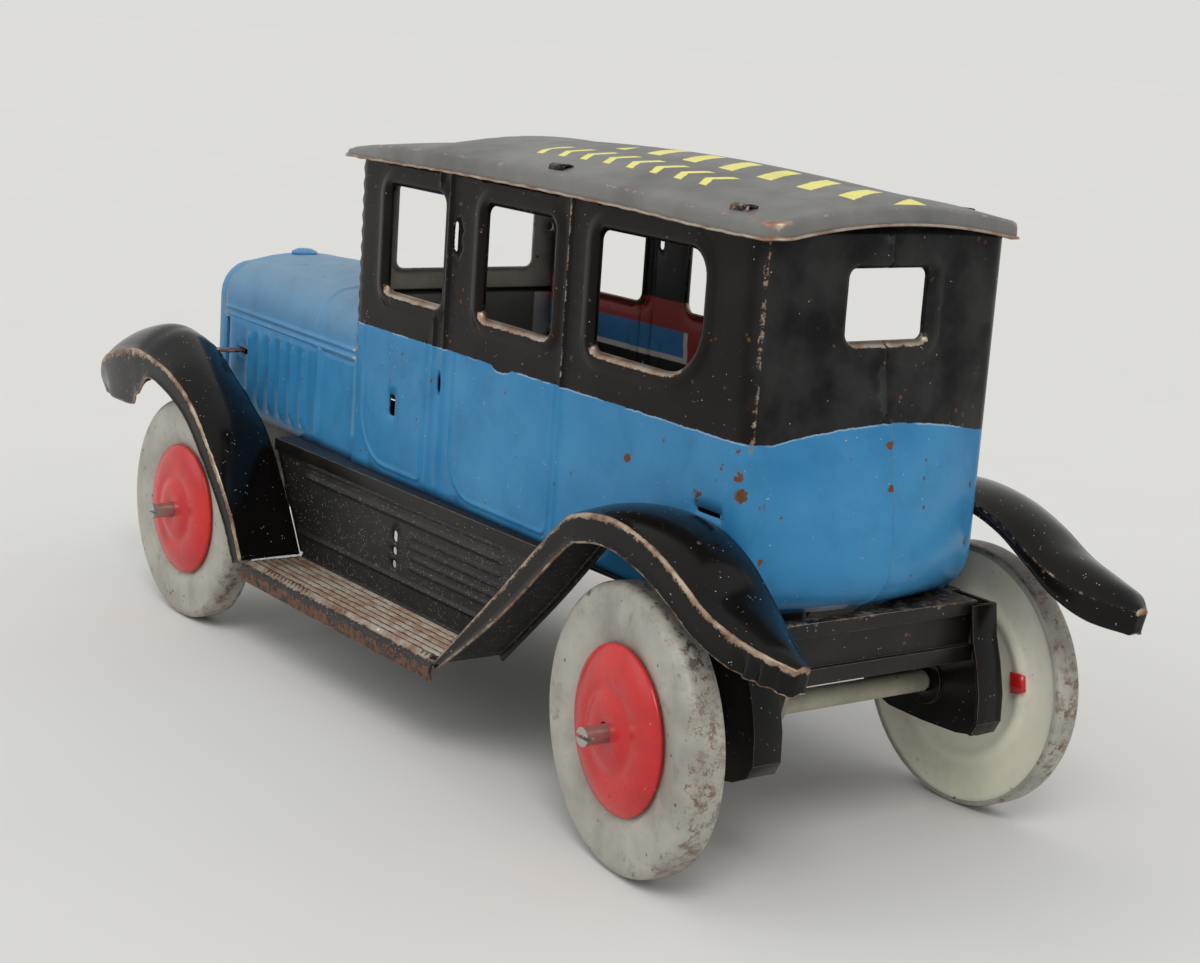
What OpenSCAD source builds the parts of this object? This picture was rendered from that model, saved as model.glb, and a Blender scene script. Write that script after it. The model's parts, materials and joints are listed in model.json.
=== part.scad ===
// Friction-drive tin sedan car of the 1920s: pressed tin body, fenders and wheels, with a
// flywheel motor geared up from the rear axle. +X is the front of the car, +Y its left side and
// +Z up. The origin is on the ground, in the middle of the car's length and width.

/* [Wheels and axles] */
// Distance from the rear axle to the front axle
wheelbase = 152; // [150:0.5:154]
// Diameter of a wheel over its tread
wheel_d = 45; // [44:0.5:46]
// Width of a wheel over its two discs
wheel_w = 6; // [5.6:0.1:6.4]
// Distance over the outer faces of the left and right wheels
track = 77.8; // [77.2:0.1:78.4]
// Diameter of the axle wire
axle_d = 3; // [2.8:0.1:3]
// Diameter of the red hub disc
hub_d = 26.4; // [24:0.2:28]

/* [Body] */
// Width of the cabin at its rear corners
cabin_w_rear = 49.6; // [49:0.1:50]
// Width of the cabin at its front edge
cabin_w_front = 44.6; // [44:0.1:45.2]
// Width of the hood at the radiator
hood_w_front = 38.4; // [37.6:0.1:39]
// Height of the roof's highest point
roof_top = 105.3; // [104.5:0.1:107]
// Height of the side windows' sills
sill_z = 74.3; // [73:0.1:76]
// Height of the side windows' heads
head_z = 93.8; // [92:0.1:94.4]

/* [Sheet and fits] */
// Thickness of the pressed tin sheet
tin = 0.6; // [0.5:0.05:0.6]
// Radial running clearance of a shaft in its bore
running = 0.05; // [0.03:0.01:0.08]

/* [Friction motor] */
// Gear module
gear_module = 0.6; // [0.55:0.01:0.6]
// Teeth on the axle gear and on the layshaft gear
gear_teeth = 30; // [28:2:30]
// Teeth on the two pinions
pinion_teeth = 10; // [10:1:10]
// Diameter of the flywheel
flywheel_d = 27; // [22:0.5:27]
// Width of the flywheel
flywheel_w = 10; // [6:0.5:10]

/* [Hidden] */
$fn = 64;

body_blue = [0.27, 0.55, 0.76];
enamel_black = [0.07, 0.07, 0.08];
tyre_grey = [0.66, 0.67, 0.62];
back_cream = [0.88, 0.89, 0.80];
hub_red = [0.85, 0.15, 0.16];
steel = [0.62, 0.60, 0.57];
brass = [0.78, 0.64, 0.35];
far = 200;              // longer than the car is wide, for cutters that pass right through
eps = 0.01;             // overlap that joins two stretches of one sheet

// ---- places ----
rear_x = -80;
front_x = rear_x + wheelbase;
axle_z = wheel_d / 2;
axle_len = 90;
wheel_face_y = track / 2;           // outer face of a wheel
wheel_back_y = wheel_face_y - wheel_w;
deck_z = 39.8;                      // top of the chassis deck
body_z = deck_z;                    // lower edge of the body
eaves_z = 98.9;                     // upper edge of the body's sheet, under the roof
board_z = 18.5;                     // top of the running boards
apron_y = 25.2;                     // outer face of the running boards' upright aprons
ledge_y = 26;                       // outer face of the tray's side ledges
deck_y = 24.9;                      // half width of the deck between the rear fenders

// ---- small tools ----
function arc(cx, cy, r, from, to, steps = 8) =
    [for (i = [0:steps]) let (a = from + (to - from) * i / steps) [cx + r * cos(a), cy + r * sin(a)]];
function reverse(v) = [for (i = [len(v) - 1:-1:0]) v[i]];
function round_rect(x0, x1, z0, z1, r) = concat(    // r: rear-low, front-low, front-high, rear-high
    arc(x0 + r[0], z0 + r[0], r[0], 270, 180),
    arc(x0 + r[3], z1 - r[3], r[3], 180, 90),
    arc(x1 - r[2], z1 - r[2], r[2], 90, 0),
    arc(x1 - r[1], z0 + r[1], r[1], 0, -90));
// A sheet standing in the XZ plane, from y0 to y1
module upright(y0, y1) translate([0, y1, 0]) rotate([90, 0, 0]) linear_extrude(y1 - y0) children();
// A sheet standing in the YZ plane, from x0 to x1; drawn in (y, z)
module crosswise(x0, x1) translate([x0, 0, 0]) rotate([90, 0, 90]) linear_extrude(x1 - x0) children();
module bar(x0, x1, y0, y1, z0, z1) translate([x0, y0, z0]) cube([x1 - x0, y1 - y0, z1 - z0]);
module pin_y(x, z, r, y0, y1) translate([x, y1, z]) rotate([90, 0, 0]) cylinder(r = r, h = y1 - y0);
module mirrored(side) mirror([0, side < 0 ? 1 : 0, 0]) children();

// ---- thin pressed sheets, lofted through a row of cross-sections ----
// outer and inner are lists of sections with the same number of points; the two skins are joined
// round their edges. close_a and close_b wall up the first and the last section.
function quad(a, b, c, d) = [[a, b, c], [a, c, d]];
function flat1(v) = [for (a = v) for (b = a) b];
function fan(ids) = [for (i = [1:len(ids) - 2]) [ids[0], ids[i], ids[i + 1]]];
module lofted_sheet(outer, inner, close_a = false, close_b = false) {
    n = len(outer);
    m = len(outer[0]);
    half = n * m;
    o = function(k, j) k * m + j;
    i = function(k, j) half + k * m + j;
    skins = [for (k = [0:n - 2]) for (j = [0:m - 2]) each concat(
        quad(o(k, j), o(k, j + 1), o(k + 1, j + 1), o(k + 1, j)),
        quad(i(k, j), i(k + 1, j), i(k + 1, j + 1), i(k, j + 1)))];
    rims = [for (k = [0:n - 2]) each concat(
        quad(o(k, 0), o(k + 1, 0), i(k + 1, 0), i(k, 0)),
        quad(o(k, m - 1), i(k, m - 1), i(k + 1, m - 1), o(k + 1, m - 1)))];
    end_a = close_a
        ? concat(fan([for (j = [m - 1:-1:0]) o(0, j)]), fan([for (j = [0:m - 1]) i(0, j)]),
                 quad(o(0, m - 1), o(0, 0), i(0, 0), i(0, m - 1)))
        : [for (j = [0:m - 2]) each quad(o(0, j), i(0, j), i(0, j + 1), o(0, j + 1))];
    end_b = close_b
        ? concat(fan([for (j = [0:m - 1]) o(n - 1, j)]), fan([for (j = [m - 1:-1:0]) i(n - 1, j)]),
                 quad(o(n - 1, 0), o(n - 1, m - 1), i(n - 1, m - 1), i(n - 1, 0)))
        : [for (j = [0:m - 2]) each quad(o(n - 1, j), o(n - 1, j + 1), i(n - 1, j + 1), i(n - 1, j))];
    polyhedron(concat(flat1(outer), flat1(inner)), [for (f = concat(skins, rims, end_a, end_b)) reverse(f)]);
}

// ---- fenders ----
// A fender is a row of stations along the car. Each station gives the edge beside the body and
// the outer edge, each as [x, y, z], then how far the sheet crowns between them and how deep the
// outer flange and the inner flange turn down.
function smooth(a, b, c, d, t) = 0.5 * (2 * b + (c - a) * t + (2 * a - 5 * b + 4 * c - d) * t * t
    + (3 * b - a - 3 * c + d) * t * t * t);
function between(s, steps) = concat([for (k = [0:len(s) - 2]) each [for (q = [0:steps - 1])
    let (last = len(s) - 1)
    [for (f = [0:4]) smooth(s[max(k - 1, 0)][f], s[k][f], s[k + 1][f], s[min(k + 2, last)][f], q / steps)]]],
    [s[len(s) - 1]]);
// The way up from the sheet at station k: square to the run of the stations, in the XZ plane
function up_at(s, k) = let (a = s[max(k - 1, 0)], b = s[min(k + 1, len(s) - 1)],
    d = (b[0] + b[1] - a[0] - a[1]) / 2, e = sign(d[0]) * sqrt(d[0] * d[0] + d[2] * d[2]))
    [-d[2] / e, 0, d[0] / e];
crown_steps = 6;
function fender_section(s, k, inset) = let (up = up_at(s, k), a = s[k][0], b = s[k][1],
    low = inset > 0 ? -inset : 0, side = [0, inset, 0])
    concat(
        [a + side - up * s[k][4]],
        [for (q = [0:crown_steps]) let (t = q / crown_steps)
            a * (1 - t) + b * t + side * (1 - 2 * t) + up * (low + s[k][2] * (1 - pow(2 * t - 1, 2)))],
        [b - side - up * s[k][3]]);
module fender(stations, steps) {
    s = between(stations, steps);
    outer = [for (k = [0:len(s) - 1]) fender_section(s, k, 0)];
    cut = [for (k = [0:len(s) - 1]) k == len(s) - 1 ? fender_section(s, k, tin) + [for (p = outer[k]) [0, 0, 0]]
        : fender_section(s, k, tin)];
    back = sign(stations[0][0][0] - stations[len(stations) - 1][0][0]) * tin;
    inner = [for (k = [0:len(s) - 1]) k == len(s) - 1 ? [for (p = cut[k]) p + [back, 0, 0]] : cut[k]];
    if (back > 0) lofted_sheet(outer, inner, close_b = true);
    else mirror_sheet(outer, inner);
}
// A sheet whose stations run towards +X needs its sections reversed to keep its faces outward
module mirror_sheet(outer, inner)
    lofted_sheet([for (s = outer) reverse(s)], [for (s = inner) reverse(s)], close_b = true);

rear_fender_stations = [
    [[-28, 25.4, 18.5], [-28, 39.0, 18.5], 0.0, 1.4, 1.3],
    [[-44, 25.3, 33.5], [-45, 39.3, 34.2], 0.3, 3.6, 1.3],
    [[-59.2, 25.2, 48.8], [-61.8, 39.5, 50.0], 0.4, 4.0, 1.3],
    [[-66.7, 25.1, 53.2], [-67.6, 39.6, 53.4], 0.8, 4.4, 1.3],
    [[-76.5, 25.1, 54.6], [-76.0, 39.6, 54.6], 1.2, 4.6, 1.3],
    [[-84.5, 25.1, 53.8], [-85.0, 39.5, 53.0], 1.6, 4.8, 1.3],
    [[-91.5, 25.2, 51.2], [-93.0, 39.3, 49.6], 1.8, 4.8, 1.3],
    [[-97.5, 25.6, 47.4], [-99.5, 38.9, 46.0], 1.8, 4.8, 1.6],
    [[-102.5, 26.8, 44.4], [-105.8, 38.2, 43.8], 1.6, 4.8, 3.0],
    [[-108.0, 28.8, 42.4], [-110.8, 36.9, 42.6], 1.2, 4.6, 4.0],
    [[-114.3, 31.6, 41.4], [-114.3, 34.6, 41.4], 0.3, 4.2, 4.0]
];
front_fender_stations = [
    [[44.6, 25.4, 18.5], [43.6, 39.2, 18.5], 0.0, 3.2, 1.3],
    [[50.4, 25.6, 28.6], [46.2, 40.8, 28.6], 0.8, 3.4, 1.3],
    [[58.6, 26.0, 40.0], [53.6, 42.0, 39.4], 2.0, 3.6, 1.3],
    [[65.0, 26.0, 44.4], [61.6, 42.0, 46.2], 2.4, 3.8, 1.3],
    [[73.6, 26.0, 49.0], [71.0, 42.0, 50.6], 3.2, 4.2, 1.3],
    [[82.0, 26.0, 53.4], [81.0, 41.8, 52.4], 3.8, 4.4, 1.3],
    [[86.5, 26.1, 54.6], [86.0, 41.7, 52.9], 3.7, 8.6, 1.4],
    [[91.4, 26.2, 55.0], [91.0, 41.6, 52.8], 3.6, 11.6, 1.6],
    [[101.0, 26.8, 53.2], [101.0, 41.2, 50.6], 3.0, 10.4, 3.0],
    [[108.4, 28.0, 49.4], [108.6, 40.4, 47.8], 2.4, 8.6, 4.6],
    [[112.8, 29.8, 44.6], [112.8, 39.2, 43.6], 1.4, 5.6, 5.0],
    [[113.6, 31.2, 40.0], [113.6, 37.6, 39.8], 0.5, 3.4, 3.4]
];
module rear_fender(side) mirrored(side) color(enamel_black) fender(rear_fender_stations, 3);
hood_tab_x = 81.5;
module front_fender(side) mirrored(side) color(enamel_black) union() {
    fender(front_fender_stations, 3);
    bar(hood_tab_x, hood_tab_x + 4, 20.6, 26.4, 52.4, 53.0);
}

// ---- running boards, each pressed in one piece with its apron ----
board_x0 = -27.6;
board_x1 = 43.2;
board_y = 39;
rib_count = 7;
apron_foot = [[board_x0, board_z - 2 * tin], [-29, 18], [-45, 33], [-45, deck_z - tin],     // outline of the
    [55.8, deck_z - tin], [55.8, 38], [44.5, board_z - 2 * tin]];                           // whole apron
apron_slots = [[30.6, 2.2], [27.8, 1.6], [25.3, 1.6]];      // middle height and length of each slot
module running_board(side) mirrored(side) color(enamel_black) difference() {
    union() {
        bar(board_x0, board_x1, apron_y - tin, board_y, board_z - 2 * tin, board_z - tin);
        bar(board_x0, board_x1, board_y - tin, board_y, board_z - 3.4, board_z - tin);
        upright(apron_y - tin, apron_y) polygon(apron_foot);
        for (k = [1:rib_count])
            bar(board_x0 + 2.5, board_x1 - 1.5, apron_y + k * 1.72, apron_y + k * 1.72 + 0.8,
                board_z - tin - eps, board_z - 0.1);
        for (z = [22.5, 34.2]) bar(board_x0, board_x1, apron_y - eps, apron_y + 0.5, z, z + 0.9);
    }
    for (s = apron_slots) bar(8, 8.9, 20, 30, s[0] - s[1] / 2, s[0] + s[1] / 2);
}

// ---- chassis ----
tray_rear = -91.5;
tray_front = 96;
ledge_x0 = -43;             // the side ledges run between the feet of the fenders
tray_neck_x = 56;
motor_x0 = -90;             // opening that the friction motor stands in
motor_x1 = -56.5;
valance_w = 44.8;
valance_low_z = 29.8;
pad_l = 70;                 // stiffening pad pressed down into the deck between the axles
pad_w = 24;
pad_drop = 1;
module chassis_tray() color(enamel_black) difference() {
    union() {
        bar(-86, ledge_x0 + eps, -deck_y, deck_y, deck_z - tin, deck_z);
        bar(ledge_x0, tray_neck_x, -ledge_y, ledge_y, deck_z - tin, deck_z);
        bar(tray_rear, -86 + eps, -valance_w / 2, valance_w / 2, deck_z - tin, deck_z);
        bar(tray_neck_x - eps, tray_front, -18.6, 18.6, deck_z - tin, deck_z);
        bar(-pad_l / 2, pad_l / 2, -pad_w / 2, pad_w / 2, deck_z - tin - pad_drop, deck_z - tin + eps);
        for (s = [-1, 1]) {
            bar(ledge_x0, tray_neck_x, min(s * ledge_y, s * (ledge_y - tin)), max(s * ledge_y, s * (ledge_y - tin)),
                deck_z - 2.4, deck_z - tin + eps);
            bar(tray_neck_x, tray_front, min(s * 18.6, s * (18.6 - tin)), max(s * 18.6, s * (18.6 - tin)),
                deck_z - 8, deck_z - tin + eps);
        }
        bar(tray_rear, tray_rear + tin, -valance_w / 2, valance_w / 2, valance_low_z, deck_z - tin + eps);
        bar(tray_rear - 1.0, tray_rear + eps, -valance_w / 2, valance_w / 2, deck_z - 2.2, deck_z);
        bar(tray_rear - 1.0, tray_rear + eps, -valance_w / 2, valance_w / 2, valance_low_z, valance_low_z + 2.6);
        bar(tray_front - tin, tray_front, -18.6, 18.6, deck_z - 8, deck_z - tin + eps);
    }
    bar(tin - pad_l / 2, pad_l / 2 - tin, tin - pad_w / 2, pad_w / 2 - tin, deck_z - pad_drop, deck_z + 1);
    bar(motor_x0, motor_x1, -7, 23, deck_z - 2, deck_z + 2);
    for (x = motor_foot_x) for (y = motor_foot_y) translate([x, y, deck_z - 3]) cylinder(r = rivet_r + 0.02, h = 6);
}

// ---- axle brackets: a plate each side, with its rear and lower edges turned inwards ----
bracket_y = 25.9;
bracket_rim = 5.4;
bracket_edge = [[-93.4, 39.2], [-94.2, 34], [-95.6, 30], [-96.8, 25], [-97, 20.4], [-95.8, 18.2]];
bracket_low = [[-92.6, 16.6], [-88, 15.7], [-80, 15.4], [-72, 15.6], [-66, 17.6], [-60, 24], [-60, 39.2]];
module rear_bracket(side) mirrored(side) color(enamel_black) difference() {
    union() {
        upright(bracket_y - tin, bracket_y) polygon(concat(bracket_edge, bracket_low));
        upright(bracket_y - bracket_rim, bracket_y)
            polygon(concat(bracket_edge, [for (p = reverse(bracket_edge)) p + [tin, 0.1]]));
        pin_y(rear_x, axle_z, 4, bracket_y - 1.2, bracket_y - tin + eps);
    }
    pin_y(rear_x, axle_z, axle_d / 2 + running, bracket_y - 3, bracket_y + 3);
}
hanger_y = 17.6;
module front_hanger() color(enamel_black) difference() {
    union() {
        bar(front_x - 8, front_x + 8, -hanger_y, hanger_y, deck_z - 2 * tin, deck_z - tin);
        for (s = [-1, 1]) mirrored(s) upright(hanger_y - 2 * tin, hanger_y)
            polygon([[front_x - 8, deck_z - tin], [front_x - 4, 17], [front_x + 4, 17], [front_x + 8, deck_z - tin]]);
    }
    pin_y(front_x, axle_z, axle_d / 2 + running, -hanger_y - 1, hanger_y + 1);
}

// ---- body halves ----
cabin_rear = -91.4;         // rear panel at its middle seam
cabin_front = 32.4;
rear_bow = 2.2;             // how far the rear panel bows out between its corners
corner_r = 3.4;
tuck_r = 8;                 // the rear panel curves in under itself at the bottom
tuck_end = 250;             // where that curve stops, and the sheet stands straight down to the deck
hood_front = 93.2;
hood_side_z = 59.4;         // upper edge of the body's sheet beside the hood
hood_y0 = 21.4;             // half width of the hood where it meets the cabin
half_rear = cabin_w_rear / 2;
half_front = cabin_w_front / 2;
// Plan of the cabin's wall from the rear seam to the front edge, inset by d
function cabin_edge(d) = concat(
    [for (i = [0:5]) let (t = i / 5) [cabin_rear + d + rear_bow * t * t, (half_rear - corner_r) * t]],
    [for (i = [1:8]) let (a = 180 - i * 90 / 8) [cabin_rear + rear_bow + corner_r + (corner_r - d) * cos(a),
        half_rear - corner_r + (corner_r - d) * sin(a)]],
    [[cabin_front, half_front - d]]);
function hood_edge(d) = [[cabin_front - 1, hood_y0 - d], [hood_front - 3, hood_w_front / 2 + 0.6 - d],
    [hood_front - 0.8 - d * 0.4, hood_w_front / 2 - 0.8 - d], [hood_front - d, hood_w_front / 2 - 4]];
module wall(edge_outer, edge_inner, z0, z1)
    translate([0, 0, z0]) linear_extrude(z1 - z0) polygon(concat(edge_outer, reverse(edge_inner)));
module tucked(d) intersection() {
    translate([0, 0, body_z]) linear_extrude(tuck_r + 1)
        polygon(concat(cabin_edge(d), [[cabin_front, -(d > 0 ? 1 : 0)], [cabin_rear, -(d > 0 ? 1 : 0)]]));
    upright(-5, 30) polygon(concat(
        arc(cabin_rear + tuck_r, body_z + tuck_r, tuck_r - d, 180, tuck_end, 8),
        [[cabin_rear + tuck_r + tuck_r * cos(tuck_end) + d, body_z - 1],
         [cabin_front + 1, body_z - 1], [cabin_front + 1, body_z + tuck_r + 2], [cabin_rear + d, body_z + tuck_r + 2]]));
}
side_windows = [    // rear edge, front edge, corner radii
    [-75.1, -46.6, [9, 1.8, 1.8, 4]],
    [-34.2, -12.2, [1.8, 1.8, 1.8, 1.8]],
    [1.2, 21.5, [1.8, 1.8, 1.8, 1.8]]
];
lip = 1.1;          // width of the edge rolled inwards round each window
lip_depth = 1.5;
function wall_y(x) = half_rear + (half_front - half_rear) * (x - cabin_rear) / (cabin_front - cabin_rear);
module window_shape(w, grow) polygon(round_rect(w[0] - grow, w[1] + grow, sill_z - grow, head_z + grow, w[2]));
rear_window = [8, 81.9, 92.8];      // half width, sill and head
module rear_window_shape(grow) polygon(round_rect(-rear_window[0] - grow, rear_window[0] + grow,
    rear_window[1] - grow, rear_window[2] + grow, [1.2, 1.2, 1.2, 1.2]));
pillar_ribs = [-1.2, 2.4, -39];     // raised beads down the two pillars
module body_half(side) mirrored(side) color(body_blue) difference() {
    union() {
        wall(cabin_edge(0), cabin_edge(tin), body_z + tuck_r, eaves_z);
        difference() {
            tucked(0);
            tucked(tin);
            bar(cabin_rear - 5, cabin_front + 5, -9, 0, body_z - 2, eaves_z);
        }
        wall(hood_edge(0), hood_edge(tin), body_z, hood_side_z);
        bar(cabin_front - 1.2, cabin_front, hood_y0 - 1.6, half_front - 0.2, body_z, eaves_z);
        for (w = side_windows) let (y = wall_y((w[0] + w[1]) / 2))
            upright(y - lip_depth, y - 0.3) window_shape(w, lip);
        for (x = pillar_ribs) bar(x - 0.4, x + 0.4, wall_y(x) - 0.3, wall_y(x) + 0.3, body_z + 2, eaves_z);
        difference() {
            crosswise(cabin_rear + tin - 0.1, cabin_rear + lip_depth) rear_window_shape(lip);
            bar(cabin_rear - 5, 0, -30, 0, 60, eaves_z);
        }
    }
    for (w = side_windows) upright(10, 40) window_shape(w, 0);
    crosswise(cabin_rear - 5, cabin_rear + 12) rear_window_shape(0);
    bar(15.3, 17.7, 15, 30, 51.6, 55.6);            // door slot
    bar(-0.4, 1.2, 15, 30, 58.2, 63.0);             // slot on the centre pillar
    bar(-3.0, -2.2, 15, 30, 84.8, 89.8);            // slit in the centre pillar
    bar(hood_tab_x - 0.2, hood_tab_x + 4.2, 15, 30, 52.2, 53.2);    // slot for the fender's tab
}

// ---- windshield panel ----
shield_w = 43;
shield_open = [15.5, 77.3, 93.6];
module windshield_panel() color(tyre_grey) difference() {
    union() {
        crosswise(cabin_front - 2.2, cabin_front - 1.6) polygon([[-shield_w / 2, 59.8], [shield_w / 2, 59.8],
            [shield_w / 2, eaves_z - 0.3], [-shield_w / 2, eaves_z - 0.3]]);
        bar(cabin_front - 4.6, cabin_front - 1.7, -shield_open[0] - 1, shield_open[0] + 1,
            shield_open[1] - 0.6, shield_open[1]);
    }
    crosswise(cabin_front - 2.3, cabin_front + 2)
        polygon(round_rect(-shield_open[0], shield_open[0], shield_open[1], shield_open[2], [1.5, 1.5, 1.5, 1.5]));
}

// ---- hood top, radiator and cap ----
hood_top_z = 71.6;          // hood's ridge at the radiator
hood_rise = 0.7;            // how much higher it stands halfway to the cabin
hood_r = 7;
hood_crown = 1.5;           // how much higher its middle stands than the tops of its rounded corners
// Section of the hood's cover, from its right lower edge over the top to its left lower edge
function hood_arch(x, w, z, d) = concat([[x, -w + d, hood_side_z]],
    [for (p = arc(-(w - hood_r), z - hood_r - hood_crown, hood_r - d, 180, 90, 6)) [x, p[0], p[1]]],
    [for (t = [-0.6, -0.3, 0, 0.3, 0.6]) [x, t * (w - hood_r), z - d - hood_crown * t * t]],
    [for (p = arc(w - hood_r, z - hood_r - hood_crown, hood_r - d, 90, 0, 6)) [x, p[0], p[1]]],
    [[x, w - d, hood_side_z]]);
hood_steps = 6;
function hood_sections(d) = [for (k = [0:hood_steps]) let (t = k / hood_steps,
    x = cabin_front + 0.2 + t * (hood_front - 0.2 - cabin_front))
    hood_arch(x, (hood_y0 - 0.1) * (1 - t) + (hood_w_front / 2 - 0.2) * t, hood_top_z + hood_rise * 4 * t * (1 - t), d)];
module hood_top() color(body_blue) lofted_sheet([for (s = hood_sections(0)) reverse(s)],
    [for (s = hood_sections(tin)) reverse(s)]);
radiator_depth = 3.4;
radiator_w = 37.6;
module radiator_shape(d) polygon(concat(
    [[-radiator_w / 2 + d, body_z + 0.4 + d]],
    arc(-radiator_w / 2 + hood_r, hood_top_z - hood_r - hood_crown, hood_r - d, 180, 90, 6),
    [for (t = [-0.6, -0.3, 0, 0.3, 0.6]) [t * (radiator_w / 2 - hood_r), hood_top_z - d - hood_crown * t * t]],
    arc(radiator_w / 2 - hood_r, hood_top_z - hood_r - hood_crown, hood_r - d, 90, 0, 6),
    [[radiator_w / 2 - d, body_z + 0.4 + d]]));
grille_bars = 9;
module radiator() color(body_blue) union() {
    crosswise(hood_front + 0.1, hood_front + 0.1 + tin) radiator_shape(0);
    difference() {
        crosswise(hood_front + 0.1, hood_front + radiator_depth) radiator_shape(0);
        crosswise(hood_front, hood_front + radiator_depth + 1) radiator_shape(2);
    }
    for (k = [1:grille_bars]) let (y = -14.5 + 29 * k / (grille_bars + 1))
        bar(hood_front + 0.5, hood_front + 1.6, y - 0.5, y + 0.5, body_z + 3, hood_top_z - 3);
}
cap_r = 2.8;
module radiator_cap() color(body_blue) translate([hood_front + radiator_depth / 2, 0, hood_top_z]) {
    cylinder(r = cap_r, h = 0.4);
    translate([0, 0, 0.4 - eps]) cylinder(r1 = cap_r, r2 = cap_r - 1.2, h = 0.6);
}

// ---- roof ----
roof_t = 0.7;
// Stations: x, half width, height of the folded edge, height of the crest, lower edge of the skirt
roof_stations = [
    [-92.2, 23.6, 99.8, roof_top - 3.0, 97.5],
    [-90.2, 25.2, 99.8, roof_top - 2.7, 97.5],
    [-88.0, 25.6, 99.9, roof_top - 2.4, 97.5],
    [-75.0, 25.6, 100.1, roof_top - 1.7, 97.6],
    [-58.0, 25.4, 100.8, roof_top - 0.7, 98.1],
    [-38.0, 25.1, 101.4, roof_top, 98.4],
    [-20.0, 24.8, 101.4, roof_top - 0.1, 98.5],
    [0.0, 24.4, 101.4, roof_top - 0.9, 98.5],
    [9.5, 24.1, 101.4, roof_top - 1.5, 98.4],
    [12.0, 24.0, 101.3, roof_top - 2.8, 98.4],
    [22.0, 23.8, 101.0, roof_top - 3.4, 98.3],
    [28.4, 23.7, 100.4, roof_top - 4.2, 98.2],
    [33.0, 23.6, 99.8, roof_top - 4.9, 98.2],
    [36.0, 23.2, 99.3, roof_top - 5.6, 98.2]
];
roof_span = 12;
function roof_section(s, d) = concat([[s[0], s[1] - d, s[4]]],
    [for (q = [0:roof_span]) let (t = 1 - 2 * q / roof_span)
        [s[0], t * (s[1] - d), s[2] - d + (s[3] - s[2]) * (1 - t * t)]],
    [[s[0], -(s[1] - d), s[4]]]);
function moved(s, by) = [s[0] + by, s[1], s[2], s[3], s[4]];
roof_inner = concat([moved(roof_stations[0], roof_t)],
    [for (k = [1:len(roof_stations) - 2]) roof_stations[k]],
    [moved(roof_stations[len(roof_stations) - 1], -roof_t)]);
visor_x = 38;
module roof() color(enamel_black) union() {
    lofted_sheet([for (s = roof_stations) roof_section(s, 0)], [for (s = roof_inner) roof_section(s, roof_t)],
        close_a = true, close_b = true);
    translate([0, 0, 98.25]) linear_extrude(0.6)
        polygon([[35.6, -22.6], [visor_x - 1, -22], [visor_x, -20.4], [visor_x, 20.4], [visor_x - 1, 22], [35.6, 22.6]]);
}

// ---- wheels: an outer tyre disc, a back disc and a domed hub disc, tabbed together ----
// Each is turned about the axle; its profile is drawn as [radius, distance inwards of the face].
wheel_bore = axle_d / 2 + 0.02;
face_t = 0.5;
module turned(x, side) translate([x, side * wheel_face_y, axle_z]) rotate([side > 0 ? 90 : -90, 0, 0])
    rotate_extrude($fn = 96) children();
function tyre_profile(d) = concat(          // the face, its shoulder and the tread
    [[hub_d / 2 - 3, 1.2 + d], [hub_d / 2 + 0.6, 1.0 + d], [wheel_d / 2 - 6, d]],
    [for (a = [90:-15:0]) [wheel_d / 2 - 1.8 + (1.8 - d) * cos(a), 1.8 - (1.8 - d) * sin(a)]],
    [[wheel_d / 2 - d, wheel_w]]);
module tyre(x, side) color(tyre_grey) turned(x, side) union() {
    polygon(concat(tyre_profile(0), reverse(tyre_profile(face_t))));
    polygon([[wheel_bore, 1.3], [hub_d / 2 - 2.4, 1.2], [hub_d / 2 - 2.4, 1.7], [wheel_bore, 1.8]]);
}
module wheel_back(x, side) color(back_cream) turned(x, side) union() {
    polygon([[wheel_bore, 6.6], [5, 6.6], [7, 5.8], [12.4, 5.6], [13.4, 6.3], [14.6, 6.3], [15.6, 5.5],
        [wheel_d / 2 - 0.6, 5.5], [wheel_d / 2 - 0.6, 5.0], [15.4, 5.0], [14.4, 5.8], [13.6, 5.8], [12.6, 5.1],
        [6.8, 5.3], [4.8, 6.1], [wheel_bore, 6.1]]);
}
module hub(x, side) color(hub_red) turned(x, side)
    polygon([[hub_d / 2, 0.9], [hub_d / 2, 0.3], [hub_d / 2 - 1.2, -0.5], [8, -1.5], [4.5, -1.9], [wheel_bore, -1.9],
        [wheel_bore, -1.4], [4.5, -1.4], [7.9, -1.0], [hub_d / 2 - 1.5, 0.0], [hub_d / 2 - 0.6, 0.5], [hub_d / 2 - 0.6, 0.9]]);
module axle(x) color(steel) difference() {
    pin_y(x, axle_z, axle_d / 2, -axle_len / 2, axle_len / 2);
    for (s = [-1, 1]) translate([x, s * axle_len / 2, axle_z]) cube([far, 2.4, 0.6], center = true);
}

// ---- friction motor ----
pressure = 25;              // pressure angle
addendum = 0.8 * gear_module;
dedendum = 1.1 * gear_module;
flank_gap = 0.05;           // half of the backlash, off each flank
function pitch_r(n) = n * gear_module / 2;
function inv(a) = tan(a) * 180 / PI - a;
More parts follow.
